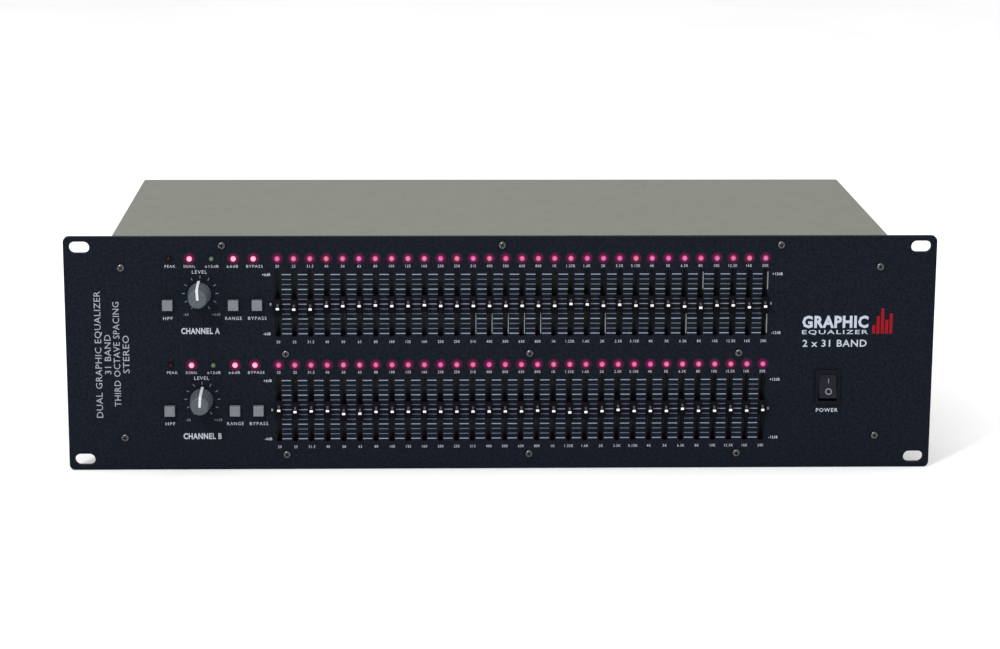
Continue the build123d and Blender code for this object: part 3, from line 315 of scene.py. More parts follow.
# Pale strips for light glinting on the slots' right-hand edges: a painted highlight.
SLOT_GLINT_PAINT = surface("painted_slot_glint", (0.22, 0.23, 0.25), (0.36, 0.37, 0.40), 400, bump=0.2,
                    rough=(0.4, 0.6), specular=0.3, stretch=(1, 1, 0.15))
STEEL = surface("dark_steel", (0.020, 0.020, 0.022), (0.042, 0.042, 0.045), 300, bump=0.1,
                rough=(0.35, 0.5), metallic=0.6, specular=0.2)
BOARD = surface("board_mask", (0.004, 0.02, 0.008), (0.008, 0.035, 0.013), 250, bump=0.15,
                rough=(0.35, 0.5), specular=0.2)
SLEEVE = surface("capacitor_sleeve", (0.01, 0.015, 0.05), (0.02, 0.03, 0.08), 150, bump=0.05,
                 rough=(0.2, 0.3))
IRON = surface("core_iron", (0.06, 0.06, 0.06), (0.14, 0.13, 0.12), 200, bump=0.4, rough=(0.5, 0.7),
               metallic=0.7, stretch=(0.2, 6, 0.2))
TAPE = surface("coil_tape", (0.55, 0.35, 0.05), (0.7, 0.48, 0.1), 120, bump=0.2, rough=(0.3, 0.45))
LEAD = surface("lead_grey", (0.25, 0.25, 0.27), (0.35, 0.35, 0.37), 200, bump=0.1, rough=(0.4, 0.5))
LIT = lamp_lens("lamp_lit", (0.52, 0.10, 0.235), (0.37, 0.060, 0.165), (0.13, 0.001, 0.03), 1.5, 0.16)
BRIGHT = lamp_lens("lamp_bright", (1.0, 0.30, 0.41), (0.9, 0.19, 0.29), (0.20, 0.003, 0.04), 2.0, 0.0)
DARK_RED = lamp_lens("lamp_dark_red", (0.016, 0.002, 0.004), (0.010, 0.002, 0.003),
                     (0.005, 0.001, 0.001), 0, 0)
DARK_GREEN = lamp_lens("lamp_dark_green", (0.10, 0.13, 0.09), (0.035, 0.055, 0.035),
                       (0.005, 0.010, 0.005), 0, 0)


# ---- mesh helpers -------------------------------------------------------------------------

def finish_mesh(name, mesh_data, materials, body="chassis", replaces=(), smooth=False):
    """Turn a bmesh into an object with its materials that rides on a body."""
    mesh = bpy.data.meshes.new(name)
    bmesh.ops.recalc_face_normals(mesh_data, faces=mesh_data.faces[:])
    mesh_data.to_mesh(mesh)
    mesh_data.free()
    for material in materials:
        mesh.materials.append(material)
    if smooth:
        for polygon in mesh.polygons:
            polygon.use_smooth = True
        mesh.set_sharp_from_angle(angle=math.radians(40))
    piece = bpy.data.objects.new(name, mesh)
    bpy.context.scene.collection.objects.link(piece)
    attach(piece, body)
    if replaces:
        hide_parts(*replaces)


def rounded_rectangle(half_x, half_z, radius, steps=3):
    """Points round a rectangle with rounded corners, anticlockwise seen from the front."""
    points = []
    for turn, (sx, sz) in enumerate(((1, 1), (-1, 1), (-1, -1), (1, -1))):
        for k in range(steps + 1):
            angle = math.pi / 2 * (turn + k / steps)
            points.append((
                sx * (half_x - radius) + radius * math.cos(angle),
                sz * (half_z - radius) + radius * math.sin(angle),
            ))
    return points


def loft(mesh_data, rings, material=0, close_back=True, close_front=True):
    """Join rings of points into a skin. Each ring is a list of (x, y, z), all of one length."""
    made = [[mesh_data.verts.new(point) for point in ring] for ring in rings]
    count = len(made[0])
    for lower, upper in zip(made, made[1:]):
        for i in range(count):
            j = (i + 1) % count
            face = mesh_data.faces.new((lower[i], lower[j], upper[j], upper[i]))
            face.material_index = material
    if close_back:
        mesh_data.faces.new(made[0]).material_index = material
    if close_front:
        mesh_data.faces.new(made[-1]).material_index = material


def circle(x, z, radius, out, sides):
    """A ring of points round an axis that runs along Y, in front of the panel by out (mm)."""
    turns = [2 * math.pi * k / sides for k in range(sides)]
    return [(x + radius * MM * math.cos(a), FACE_Y - out * MM, z + radius * MM * math.sin(a))
            for a in turns]


def block(mesh_data, low, high, material=0):
    """A plain block between two corners, for print and small marks."""
    (x0, y0, z0), (x1, y1, z1) = low, high
    ring_back = [(x0, y1, z0), (x1, y1, z0), (x1, y1, z1), (x0, y1, z1)]
    ring_front = [(x, y0, z) for x, _, z in ring_back]
    loft(mesh_data, [ring_back, ring_front], material)


# ---- slider caps --------------------------------------------------------------------------
# Depth in front of the panel, half width and half height of each ring, in millimetres.
CAP_RINGS = (
    (0.8, 1.85, 4.6), (1.0, 2.0, 4.75), (2.0, 2.0, 4.75), (2.3, 1.95, 4.5), (2.8, 1.9, 3.6),
    (3.4, 1.85, 2.6), (4.1, 1.8, 1.8), (4.8, 1.75, 1.35), (5.15, 1.7, 1.2), (5.3, 1.5, 1.0),
)
CAP_CORNER, CAP_FRONT = 0.45 * MM, 5.3 * MM
MARK_HALF_WIDTH, MARK_HALF_HEIGHT, MARK_PROUD = 0.85 * MM, 0.62 * MM, 0.06 * MM
# The lever reaches from inside the cap to the potentiometer behind the panel.
LEVER_HALF_WIDTH, LEVER_HALF_HEIGHT, LEVER_FRONT, LEVER_BACK = 0.6 * MM, 1.6 * MM, 1.0 * MM, 7.0 * MM
# The faint index line on the ridge's upper slope, as distance above the middle and in front. The line is
# print, and its dim grey is painted light: how light falls on the slope.
RIDGE_LINE = ((1.2, 5.2), (1.38, 4.85), (1.83, 4.15), (2.4, 3.65), (2.0, 3.6), (1.0, 4.9))
RIDGE_LINE_HALF_WIDTH = 0.5


def slider_piece(node):
    """The two caps of one band, each with its lever, its white mark and its ridge line."""
    low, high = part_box(node)
    x = (low.x + high.x) / 2
    front = FACE_Y - CAP_FRONT
    data = bmesh.new()
    for z in (low.z + CAP_HALF, high.z - CAP_HALF):
        rings = []
        for out, half_x, half_z in CAP_RINGS:
            outline = rounded_rectangle(half_x * MM, half_z * MM, CAP_CORNER)
            rings.append([(x + u, FACE_Y - out * MM, z + w) for u, w in outline])
        loft(data, rings, 0)
        block(data, (x - MARK_HALF_WIDTH, front - MARK_PROUD, z - MARK_HALF_HEIGHT),
              (x + MARK_HALF_WIDTH, front + MARK_PROUD, z + MARK_HALF_HEIGHT), 1)
        block(data, (x - LEVER_HALF_WIDTH, FACE_Y - LEVER_FRONT, z - LEVER_HALF_HEIGHT),
              (x + LEVER_HALF_WIDTH, FACE_Y + LEVER_BACK, z + LEVER_HALF_HEIGHT), 2)
        # The ridge line in dim grey: print with painted light.
        loft(data, [
            [(x + side * RIDGE_LINE_HALF_WIDTH * MM, FACE_Y - out * MM, z + up * MM)
             for up, out in RIDGE_LINE]
            for side in (-1, 1)
        ], 3)
    finish_mesh(node.replace("slider", "cap"), data, [CAP, MARK, STEEL, PAINTED_LIGHT_RIDGE], node, [node])


for node in BAND_NODES:
    slider_piece(node)


# ---- lamps --------------------------------------------------------------------------------
# Radius and depth in front of the panel of the lamp's lower rings, in millimetres.
LAMP_BASE = [(LAMP_RADIUS, -3.1), (1.9, -3.15), (1.9, -4.0)]
GLOW_INNER, GLOW_PROUD = 1.52, 0.02
# The five status lamps of a channel: peak, signal, wide range, narrow range and bypass.
STATUS_X = [x * MM for x in (-183.6, -172.2, -160.1, -148.1, -137.1)]
LIT_STATUS_X = {"signal": STATUS_X[1], "narrow_range": STATUS_X[3], "bypass": STATUS_X[4]}
BAND_REACH, STATUS_REACH = 3.9 * MM, 4.2 * MM


def lamp_piece(name, places, material, replaces=()):
    """Domed lamps standing through the panel, with a flange behind it."""
    data = bmesh.new()
    quarter = [math.pi / 2 * k / 8 for k in range(1, 9)]
    profile = [(LAMP_RADIUS * math.sin(a), LAMP_SHANK + LAMP_RADIUS * math.cos(a)) for a in quarter]
    profile += LAMP_BASE
    for x, z in places:
        loft(data, [circle(x, z, radius, out, 24) for radius, out in reversed(profile)])
    finish_mesh(name, data, [material], "chassis", replaces, smooth=True)


def glow_piece(name, xs, material, reach):
    """Thin rings of lit paint on the panel round the lamps at those places."""
    data = bmesh.new()
    outer = reach / MM
    profile = ((GLOW_INNER, -GLOW_PROUD), (GLOW_INNER, GLOW_PROUD), (outer, 0.75 * GLOW_PROUD),
               (outer, -GLOW_PROUD))
    for z in LAMP_Z:
        for x in xs:
            rings = [circle(x, z, radius, out, 32) for radius, out in profile]
            loft(data, rings + [rings[0]], 0, False, False)
    bmesh.ops.remove_doubles(data, verts=data.verts[:], dist=1e-7)
    finish_mesh(name, data, [material], "chassis")


lamp_piece("band_lamps", [(x, z) for z in LAMP_Z for x in BAND_X], LIT, ["band_leds"])
lit_status = [(x, z) for z in LAMP_Z for x in LIT_STATUS_X.values()]
lamp_piece("lit_status_lamps", lit_status, BRIGHT, ["status_leds"])
lamp_piece("peak_lamps", [(STATUS_X[0], z) for z in LAMP_Z], DARK_RED)
lamp_piece("wide_range_lamps", [(STATUS_X[2], z) for z in LAMP_Z], DARK_GREEN)
band_paint = lit_paint("paint_by_band_lamps", BAND_X[0], PITCH, BAND_REACH)
glow_piece("band_lamp_glow", BAND_X, band_paint, BAND_REACH)
for label, x in LIT_STATUS_X.items():
    # One lamp in each row: a pitch of a metre leaves only the column at x.
    status_paint = lit_paint(f"paint_by_{label}_lamp", x, 1.0, STATUS_REACH)
    glow_piece(f"{label}_lamp_glow", [x], status_paint, STATUS_REACH)


# ---- level knobs --------------------------------------------------------------------------
FLUTES, FLUTE_DEPTH, FLUTES_END = 24, 0.3, 16.0
# Depth in front of the panel and radius of each ring, and of the dish in the face, in millimetres.
KNOB_RINGS = ((1.0, 6.35), (1.3, 6.5), (8.0, 6.0), (15.2, 5.3), (16.2, 5.05), (16.8, 4.6), (17.0, 4.0))
KNOB_DISH = ((16.9, 3.6), (16.8, 2.0))
POINTER_HALF_WIDTH = 0.7
# The pointer's outline: up from the axis and out from the panel. The inner side is in the knob.
POINTER_OUTER = [(6.1, 1.0), (7.3, 1.2), (6.75, 8.0), (5.9, 14.8), (5.3, 16.5), (4.4, 17.0), (-0.4, 17.0)]
POINTER_INNER = [(-0.4, 16.4), (4.0, 16.4), (4.0, 16.0), (4.0, 15.9), (4.0, 8.0), (4.0, 1.2), (4.0, 1.0)]


def knob_piece(name, tilt):
    """A tapered knob with flutes that run out near its face, and a raised white pointer."""
    axis = centre(name)
    data = bmesh.new()
    steps = FLUTES * 6
    turns = [2 * math.pi * k / steps for k in range(steps)]
    rings = []
    for out, radius in KNOB_RINGS + KNOB_DISH:
        flute = FLUTE_DEPTH if out < FLUTES_END else 0.0
        radii = [(radius - flute * (0.5 - 0.5 * math.cos(FLUTES * turn))) * MM for turn in turns]
        rings.append([(axis.x + r * math.cos(turn), FACE_Y - out * MM, axis.z + r * math.sin(turn))
                      for r, turn in zip(radii, turns)])
    loft(data, rings)
    lean = Matrix.Rotation(tilt, 4, "Y")
    sides = []
    for u in (-POINTER_HALF_WIDTH, POINTER_HALF_WIDTH):
        points = [(lean @ Vector((u * MM, 0, up * MM)), out) for up, out in POINTER_OUTER + POINTER_INNER]
        sides.append([(axis.x + p.x, FACE_Y - out * MM, axis.z + p.z) for p, out in points])
    loft(data, sides, 1)
    finish_mesh(name.replace("level_knob", "fluted_knob"), data, [KNOB_GREY, POINTER], name,
                [name])


knob_piece("level_knob_a", math.radians(-3))
knob_piece("level_knob_b", math.radians(4))


# ---- print on the panel -------------------------------------------------------------------

outlines = {}
PRINT_RISE = 0.03 * MM
SMALL = 1.5 * MM


def text_outline(words, weight, spacing):
    """Flat letters as (points, faces), from the built-in font, thickened by weight."""
    key = (words, weight, spacing)
    if key not in outlines:
        curve = bpy.data.curves.new("letters", "FONT")
        curve.body = words
        curve.resolution_u = 2
        curve.extrude = 0.01
        curve.offset = weight
        curve.space_character = spacing
        holder = bpy.data.objects.new("letters", curve)
        bpy.context.scene.collection.objects.link(holder)
        bpy.context.view_layer.update()
        shape = bpy.data.meshes.new_from_object(holder.evaluated_get(bpy.context.evaluated_depsgraph_get()))
        outlines[key] = ([v.co.copy() for v in shape.vertices], [tuple(p.vertices) for p in shape.polygons])
        bpy.data.objects.remove(holder)
        bpy.data.meshes.remove(shape)
        bpy.data.curves.remove(curve)
    return outlines[key]


def legend(data, words, x, z, height, width=None, weight=0.0, upright=False, spacing=1.2, narrow=0.87,
           rear=False):
    """Print words centred at x, z with letters of that height; width stretches them to fit."""
    y = BACK_Y if rear else FACE_Y
    points, faces = text_outline(words, weight, spacing)
    tall = max(p.y for p in text_outline("H", weight, spacing)[0])
    low_x, high_x = min(p.x for p in points), max(p.x for p in points)
    scale_y = height / tall
    scale_x = scale_y * narrow if width is None else width / (high_x - low_x)
    made = []
    for p in points:
        across = (p.x - (low_x + high_x) / 2) * scale_x
        up = (p.y - tall / 2) * scale_y
        if upright:
            across, up = -up, across
        out = PRINT_RISE if p.z > 0 else -PRINT_RISE
        if rear:
            made.append(data.verts.new((x - across, y + out, z + up)))
        else:
            made.append(data.verts.new((x + across, y - out, z + up)))
    for face in faces:
        try:
            data.faces.new([made[i] for i in face])
        except ValueError:
            pass  # This face is there already.


BAND_LABELS = [
    "20", "25", "31.5", "40", "50", "63", "80", "100", "125", "160", "200", "250", "315", "400", "500",
    "630", "800", "1K", "1.25K", "1.6K", "2K", "2.5K", "3.15K", "4K", "5K", "6.3K", "8K", "10K",
    "12.5K", "16K", "20K",
]
STEP = 2.79 * MM
COLUMN_HALF = 2.6 * MM
MAJOR_HALF, MINOR_HALF = 0.26 * MM, 0.2 * MM
# The print of the upper row stands a little to the right of the slots' middles, the lower row's
# to the left.
COLUMN_SHIFTS = (0.35 * MM, -0.35 * MM)
# From here to TITLE, all sizes and places are in millimetres.
# Band numbers, below the lamps and below the zero line.
NUMBER_BELOW_LAMP, NUMBER_BELOW_ZERO = 4.35, 21.4
# Each status lamp's word, its width and how far it stands to the lamp's right.
STATUS_WORDS = (("PEAK", 5.9, 0.65), ("SIGNAL", 6.4, -0.1), ("±12dB", 7.4, 0.1), ("±6dB", 6.3, -0.6),
                ("BYPASS", 9.1, 0.6))
# Each button's word and its width, then the words' height and their place below the zero line.
BUTTON_WORDS = (("HPF", "hpf_button_a", 5.3), ("RANGE", "range_button_a", 9.2),
                ("BYPASS", "bypass_button_a", 10.2))
BUTTON_WORD_HEIGHT, BUTTON_WORD_BELOW = 1.8, 7.9
# The words at the left and right ends of a row, at these steps of the scale.
SCALE_WORDS = ((6, "+6dB", "+12dB"), (0, "0", "0"), (-6, "-6dB", "-12dB"))
SCALE_WORD_LEFT, SCALE_WORD_RIGHT, ZERO_LEFT, ZERO_RIGHT = 6.2, 6.9, 4.0, 3.6
# Round a level knob: places to the right of the dial's middle and above the zero line.
DIAL_SHIFT, DIAL_RISE = 0.3, 6.2
LEVEL_PLACE, LEVEL_HEIGHT, LEVEL_WIDTH = (-0.2, 18.3), 1.9, 8.2
CHANNEL_PLACE, CHANNEL_HEIGHT, CHANNEL_WIDTH = (-0.3, -15.0), 3.3, 21.3
DIAL_ENDS = (("-60", -8.1, -5.7), ("+6dB", 8.6, -5.7))
DIAL_TICKS, TICK_START, TICK_END, TICK_HALF_WIDTH = 11, 8.4, 10.0, 0.2
POWER_SHIFT, POWER_BELOW, POWER_HEIGHT, POWER_WIDTH = 0.1, 13.4, 2.1, 12.3
# Upright words at the left end: words, place along X, middle along Z, length.
SIDE_WORDS = (("DUAL GRAPHIC EQUALIZER", -223.6, 66.0, 72.0), ("31 BAND", -218.4, 66.2, 22.5),
              ("THIRD OCTAVE SPACING", -213.4, 66.2, 59.5), ("STEREO", -208.3, 66.2, 21.5))
SIDE_WORD_HEIGHT = 3.5
# The title beside the emblem: words, middle along Z, height, width, weight, spacing.
TITLE_X = 186.0
TITLE = (("GRAPHIC", 84.0, 6.6, 37.0, 0.04, 1.1), ("EQUALIZER", 78.0, 2.3, 37.0, 0.01, 1.2),
         ("2 x 31 BAND", 71.6, 3.9, 36.0, 0.015, 1.1))


# Words on the rear wall.
REAR_HEIGHT, REAR_BELOW_SOCKET, REAR_BELOW_INLET = 3.0 * MM, 20 * MM, 6 * MM
REAR_CHANNEL_X, REAR_CHANNEL_HEIGHT = 98 * MM, 3.6 * MM
# The emblem's bars, in millimetres.
BAR_HEIGHTS, BAR_HALF_WIDTH, BAR_PITCH = (5.0, 10.0, 14.5, 8.0, 11.5), 0.85, 2.4
FIRST_BAR_X, BAR_BASE_Z = 207.6, 77.0


def row_labels(labels, zero, lamp):
    """The words and numbers of one row: its lamps, sliders, buttons and the ends of its scale."""
    for label, x in zip(BAND_LABELS, BAND_X):
        for z in (lamp - NUMBER_BELOW_LAMP * MM, zero - NUMBER_BELOW_ZERO * MM):
            legend(labels, label, x, z, SMALL, weight=0.005)
    for (label, width, shift), x in zip(STATUS_WORDS, STATUS_X):
        legend(labels, label, x + shift * MM, lamp - NUMBER_BELOW_LAMP * MM, SMALL, width * MM)
    for words, node, width in BUTTON_WORDS:
        legend(labels, words, centre(node).x, zero - BUTTON_WORD_BELOW * MM, BUTTON_WORD_HEIGHT * MM,
               width * MM)
    for step, left, right in SCALE_WORDS:
        z = zero + step * STEP
        left_gap, right_gap = (SCALE_WORD_LEFT, SCALE_WORD_RIGHT) if step else (ZERO_LEFT, ZERO_RIGHT)
        legend(labels, left, BAND_X[0] - left_gap * MM, z, SMALL, weight=0.02)
        legend(labels, right, BAND_X[-1] + right_gap * MM, z, SMALL, weight=0.02)


def dial(labels, ticks, zero, channel):
    """The words and the ticks round one level knob."""
    x = KNOB[0].x + DIAL_SHIFT * MM
    across, up = LEVEL_PLACE
    legend(labels, "LEVEL", x + across * MM, zero + up * MM, LEVEL_HEIGHT * MM, LEVEL_WIDTH * MM)
    across, up = CHANNEL_PLACE
    legend(labels, channel, x + across * MM, zero + up * MM, CHANNEL_HEIGHT * MM, CHANNEL_WIDTH * MM,
           weight=0.03, spacing=1.12)
    for words, across, up in DIAL_ENDS:
        legend(ticks, words, x + across * MM, zero + up * MM, SMALL, weight=0.01)
    origin = Vector((x, FACE_Y, zero + DIAL_RISE * MM))
    rise = Vector((0, PRINT_RISE, 0))
    for k in range(DIAL_TICKS):
        angle = math.radians(-150 + 30 * k)
        outward = Vector((math.sin(angle), 0, math.cos(angle)))
        side = Vector((math.cos(angle), 0, -math.sin(angle)))
        ring = [origin + outward * r * MM + side * w * TICK_HALF_WIDTH * MM
                for r, w in ((TICK_START, -1), (TICK_START, 1), (TICK_END, 1), (TICK_END, -1))]
        loft(ticks, [[p + rise for p in ring], [p - rise for p in ring]])


def panel_print():
    """The print on the panel, in four pieces that differ a little in brightness."""
    title, side, labels, ticks = bmesh.new(), bmesh.new(), bmesh.new(), bmesh.new()
    for zero, lamp, channel in zip(ZERO_Z, LAMP_Z, ("CHANNEL A", "CHANNEL B")):
        row_labels(labels, zero, lamp)
        dial(labels, ticks, zero, channel)
    rocker = centre("power_switch_housing")
    legend(title, "POWER", rocker.x + POWER_SHIFT * MM, rocker.z - POWER_BELOW * MM, POWER_HEIGHT * MM,
           POWER_WIDTH * MM, weight=0.015)
    for words, x, middle, length in SIDE_WORDS:
        legend(side, words, x * MM, middle * MM, SIDE_WORD_HEIGHT * MM, length * MM, upright=True,
               spacing=1.06)
    for words, z, height, width, weight, spacing in TITLE:
        legend(title, words, TITLE_X * MM, z * MM, height * MM, width * MM, weight, spacing=spacing)
    for name, data, material in (("panel_words", title, PRINT), ("panel_side_words", side, PRINT_SIDE),
                                 ("panel_labels", labels, PRINT_SOFT), ("panel_ticks", ticks, PRINT_TICK)):
        finish_mesh(name, data, [material], "chassis")


def rear_print():
    """Dark words by the rear sockets."""
    data = bmesh.new()
    sockets_low, sockets_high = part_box("xlr_sockets")
    jacks_low, jacks_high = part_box("jack_sockets")
    heights = {"A": sockets_high.z - SOCKET_HALF_Z, "B": sockets_low.z + SOCKET_HALF_Z}
    columns = {"IN": (sockets_high.x - SOCKET_HALF_X, jacks_high.x - JACK_HALF),
               "OUT": (sockets_low.x + SOCKET_HALF_X, jacks_low.x + JACK_HALF)}
    style = dict(weight=0.03, rear=True)
    for channel, z in heights.items():
        for words, places in columns.items():
            for x in places:
                legend(data, words, x, z - REAR_BELOW_SOCKET, REAR_HEIGHT, **style)
        legend(data, f"CHANNEL {channel}", REAR_CHANNEL_X, z, REAR_CHANNEL_HEIGHT, **style)
    inlet_low, inlet_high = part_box("power_inlet")
    legend(data, "MAINS", (inlet_low.x + inlet_high.x) / 2, inlet_low.z - REAR_BELOW_INLET,
           REAR_HEIGHT, **style)
    finish_mesh("rear_words", data, [PRINT_BLACK], "chassis")


def scale_lines():
    """Thirteen lines between each two sliders, every third one bright."""
    bright, dim = bmesh.new(), bmesh.new()
    for zero, shift in zip(ZERO_Z, COLUMN_SHIFTS):
        for left, right in zip(BAND_X, BAND_X[1:]):
            middle = (left + right) / 2 + shift
            for step in range(-6, 7):
                z = zero + step * STEP
                data, half = (dim, MINOR_HALF) if step % 3 else (bright, MAJOR_HALF)
                block(data, (middle - COLUMN_HALF, FACE_Y - PRINT_RISE, z - half),
                      (middle + COLUMN_HALF, FACE_Y + PRINT_RISE, z + half))
    finish_mesh("scale_lines_bright", bright, [PRINT_LINE], "chassis")
    finish_mesh("scale_lines_dim", dim, [PRINT_DIM], "chassis")


def emblem():
    """A generic mark: five upright bars of different heights on a common base."""
    data = bmesh.new()
    for k, height in enumerate(BAR_HEIGHTS):
        x = (FIRST_BAR_X + BAR_PITCH * k) * MM
        block(data, (x - BAR_HALF_WIDTH * MM, FACE_Y - PRINT_RISE, BAR_BASE_Z * MM),
              (x + BAR_HALF_WIDTH * MM, FACE_Y + PRINT_RISE, (BAR_BASE_Z + height) * MM))
    finish_mesh("emblem_bars", data, [PRINT_RED], "chassis")


panel_print()
rear_print()
scale_lines()
emblem()


# ---- panel screws and slot edges ----------------------------------------------------------
# In millimetres. HEAD_GAP parts one screw head's points from the next one's.
SCREW_DOME_RADIUS, SCREW_DOME_EDGE, SCREW_DOME_RISE = 2.25, 0.45, 1.3
RECESS_LENGTH, RECESS_HALF_WIDTH, RECESS_DEPTH = 1.25, 0.3, 0.42
HEAD_GAP, HEAD_PROUD = 6, 0.1
SCREW_SIDES, SCREW_STEPS = 48, 14
# How far each recess is turned from the one before, in radians.
RECESS_TURN = 2.4


def screw_places():
    """The middles of the screw heads that stand in front of the panel, from the frame's mesh."""
    heads = []
    for vertex in nodes["screws_and_standoffs"].data.vertices:
        point = vertex.co
        if point.y > FACE_Y - HEAD_PROUD * MM:
            continue
        for head in heads:
            if math.hypot(point.x - head[0][0], point.z - head[0][1]) < HEAD_GAP * MM:
                head.append((point.x, point.z))
                break
        else:
            heads.append([(point.x, point.z)])
    places = []
    for head in heads:
        xs, zs = [x for x, _ in head], [z for _, z in head]
        places.append(((min(xs) + max(xs)) / 2, (min(zs) + max(zs)) / 2))
    return sorted(places)


def screw_domes():
    """Shiny domed heads with a cross recess, each turned its own way. The recess is near black: painted
    shade.
    """
    data = bmesh.new()
    sides, steps = SCREW_SIDES, SCREW_STEPS
    for number, (x, z) in enumerate(screw_places()):
        turn = RECESS_TURN * number
        rings, sunk = [circle(x, z, SCREW_DOME_RADIUS, 0.0, sides)], [[False] * sides]
        for step in range(steps):
            radius = SCREW_DOME_RADIUS * (1 - step / steps)
            rise = SCREW_DOME_EDGE + SCREW_DOME_RISE * math.sqrt(1 - (radius / SCREW_DOME_RADIUS) ** 2)
            ring, low = [], []
            for k in range(sides):
                angle = 2 * math.pi * k / sides
                u, w = abs(radius * math.cos(angle - turn)), abs(radius * math.sin(angle - turn))
                # low marks the points of the ring that lie in the cross.
                low.append(max(u, w) < RECESS_LENGTH and min(u, w) < RECESS_HALF_WIDTH)
                out = rise - RECESS_DEPTH if low[-1] else rise
                ring.append((x + radius * MM * math.cos(angle), FACE_Y - out * MM,
                             z + radius * MM * math.sin(angle)))
            rings.append(ring)
            sunk.append(low)
        first = len(data.faces)
        loft(data, rings)
        data.faces.ensure_lookup_table()
        for step, (lower, upper) in enumerate(zip(sunk, sunk[1:])):
            for k in range(sides):
                j = (k + 1) % sides
                if sum((lower[k], lower[j], upper[k], upper[j])) >= 2:
                    # The faces in the cross take the painted shade.
                    data.faces[first + step * sides + k].material_index = 1
        data.faces[-1].material_index = 1
    finish_mesh("panel_screw_domes", data, [SCREW_SHINE, PAINTED_SHADE_RECESS], "chassis",
                smooth=True)


# Painted highlights on slot edges, where light glints: their profile, across from the slot's middle and into
# the panel, and the spans of the slot's length that glint, from the zero line up, in millimetres.
EDGE_PROFILE = [(1.47, 2.9), (1.47, 0.25), (1.72, -0.03), (1.8, 0.1), (1.6, 2.9)]
GLINT_SPANS = (
    (-17.0, -4.5, ("315", "400", "500", "630", "800", "2K", "6.3K", "20K")),
    (8.0, 18.0, ("8K", "20K")),
)


def slot_edge_glints():
    """Painted highlights: pale strips where light glints on the right-hand edges of some slots in the upper
    row.
    """
    data = bmesh.new()
    for label, x in zip(BAND_LABELS, BAND_X):
        for low, high, glinting in GLINT_SPANS:
            if label in glinting:
                loft(data, [
                    [(x + u * MM, FACE_Y + d * MM, ZERO_Z[0] + z * MM) for u, d in EDGE_PROFILE]
                    for z in (low, high)
                ])
    finish_mesh("slot_edge_painted_glints", data, [SLOT_GLINT_PAINT], "chassis")


screw_domes()
slot_edge_glints()


# ---- power rocker marks -------------------------------------------------------------------

# In millimetres: the marks stand MARK_SHIFT to the right of the rocker's middle.
MARK_SHIFT, MARK_RISE, MARK_SINK = 0.4, 0.04, 0.2
I_HALF_WIDTH, I_BOTTOM, I_TOP, I_FACE = 0.25, 2.3, 4.9, 1.13
O_INNER, O_OUTER, O_BELOW, O_FACE = 1.25, 1.9, 2.2, 2.3
ROCKER_LEAN = math.radians(22)


def rocker_marks():
    """The I on the rocker's flush upper face and the O on its raised lower face."""
    low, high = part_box("power_rocker")
    data = bmesh.new()
    x = (low.x + high.x) / 2 + MARK_SHIFT * MM
    pivot_z = centre("power_switch_housing").z
    upper_y = FACE_Y - I_FACE * MM
    block(data, (x - I_HALF_WIDTH * MM, upper_y - MARK_RISE * MM, pivot_z + I_BOTTOM * MM),
          (x + I_HALF_WIDTH * MM, upper_y + MARK_SINK * MM, pivot_z + I_TOP * MM))
    middle = Vector((x, FACE_Y - O_FACE * MM, pivot_z - O_BELOW * MM))
    right = Vector((1, 0, 0))
    down = Vector((0, -math.sin(ROCKER_LEAN), -math.cos(ROCKER_LEAN)))
    out = Vector((0, -math.cos(ROCKER_LEAN), math.sin(ROCKER_LEAN)))
    turns = [2 * math.pi * k / 32 for k in range(32)]
    rings = [
        [middle + out * lift * MM + (right * math.cos(a) + down * math.sin(a)) * radius * MM for a in turns]
        for radius, lift in ((O_INNER, -MARK_SINK), (O_INNER, MARK_RISE), (O_OUTER, MARK_RISE),
                             (O_OUTER, -MARK_SINK))
    ]
    loft(data, rings + [rings[0]], 0, False, False)
    bmesh.ops.remove_doubles(data, verts=data.verts[:], dist=1e-7)
    finish_mesh("rocker_marks", data, [PRINT_TICK], "power_rocker")


rocker_marks()


# ---- finishes on the CAD nodes that stay --------------------------------------------------

# Radii and places of metal parts in the rear sockets.
SHELL_RADIUS, PINS_RADIUS, PINS_DEPTH = 9.4 * MM, 5.2 * MM, 16.7 * MM
BLADES_BELOW, BLADES_HALF_X, BLADES_HALF_Z = 4.4 * MM, 8.3 * MM, 4.6 * MM
BLADES_START, BLADES_END = 6.0 * MM, 18.7 * MM
NUT_HOLE = 4.55 * MM


def paint(material, *names):
    """Give CAD nodes a finish."""
    for name in names:
        mesh = nodes[name].data
        mesh.materials.clear()
        mesh.materials.append(material)


def both(tree, first, second):
    """One where both masks are one."""
    return maths(tree, "MULTIPLY", first, second)


def socket_mask(tree, axes):
    """Metal shells, and the three pins that stand in the outputs."""
    low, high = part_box("xlr_sockets")
    in_x, out_x = high.x - SOCKET_HALF_X, low.x + SOCKET_HALF_X
    top_z, bottom_z = high.z - SOCKET_HALF_Z, low.z + SOCKET_HALF_Z
    radius, _, _ = radius_from_places(tree, axes, in_x, in_x - out_x, top_z, top_z - bottom_z)
    shell = maths(tree, "GREATER_THAN", radius, SHELL_RADIUS)
    output = maths(tree, "LESS_THAN", axes["X"], (in_x + out_x) / 2)
    inside = maths(tree, "LESS_THAN", radius, PINS_RADIUS)
    proud = maths(tree, "GREATER_THAN", axes["Y"], high.y - PINS_DEPTH)
    pins = both(tree, both(tree, output, inside), proud)
    return maths(tree, "MAXIMUM", shell, pins)


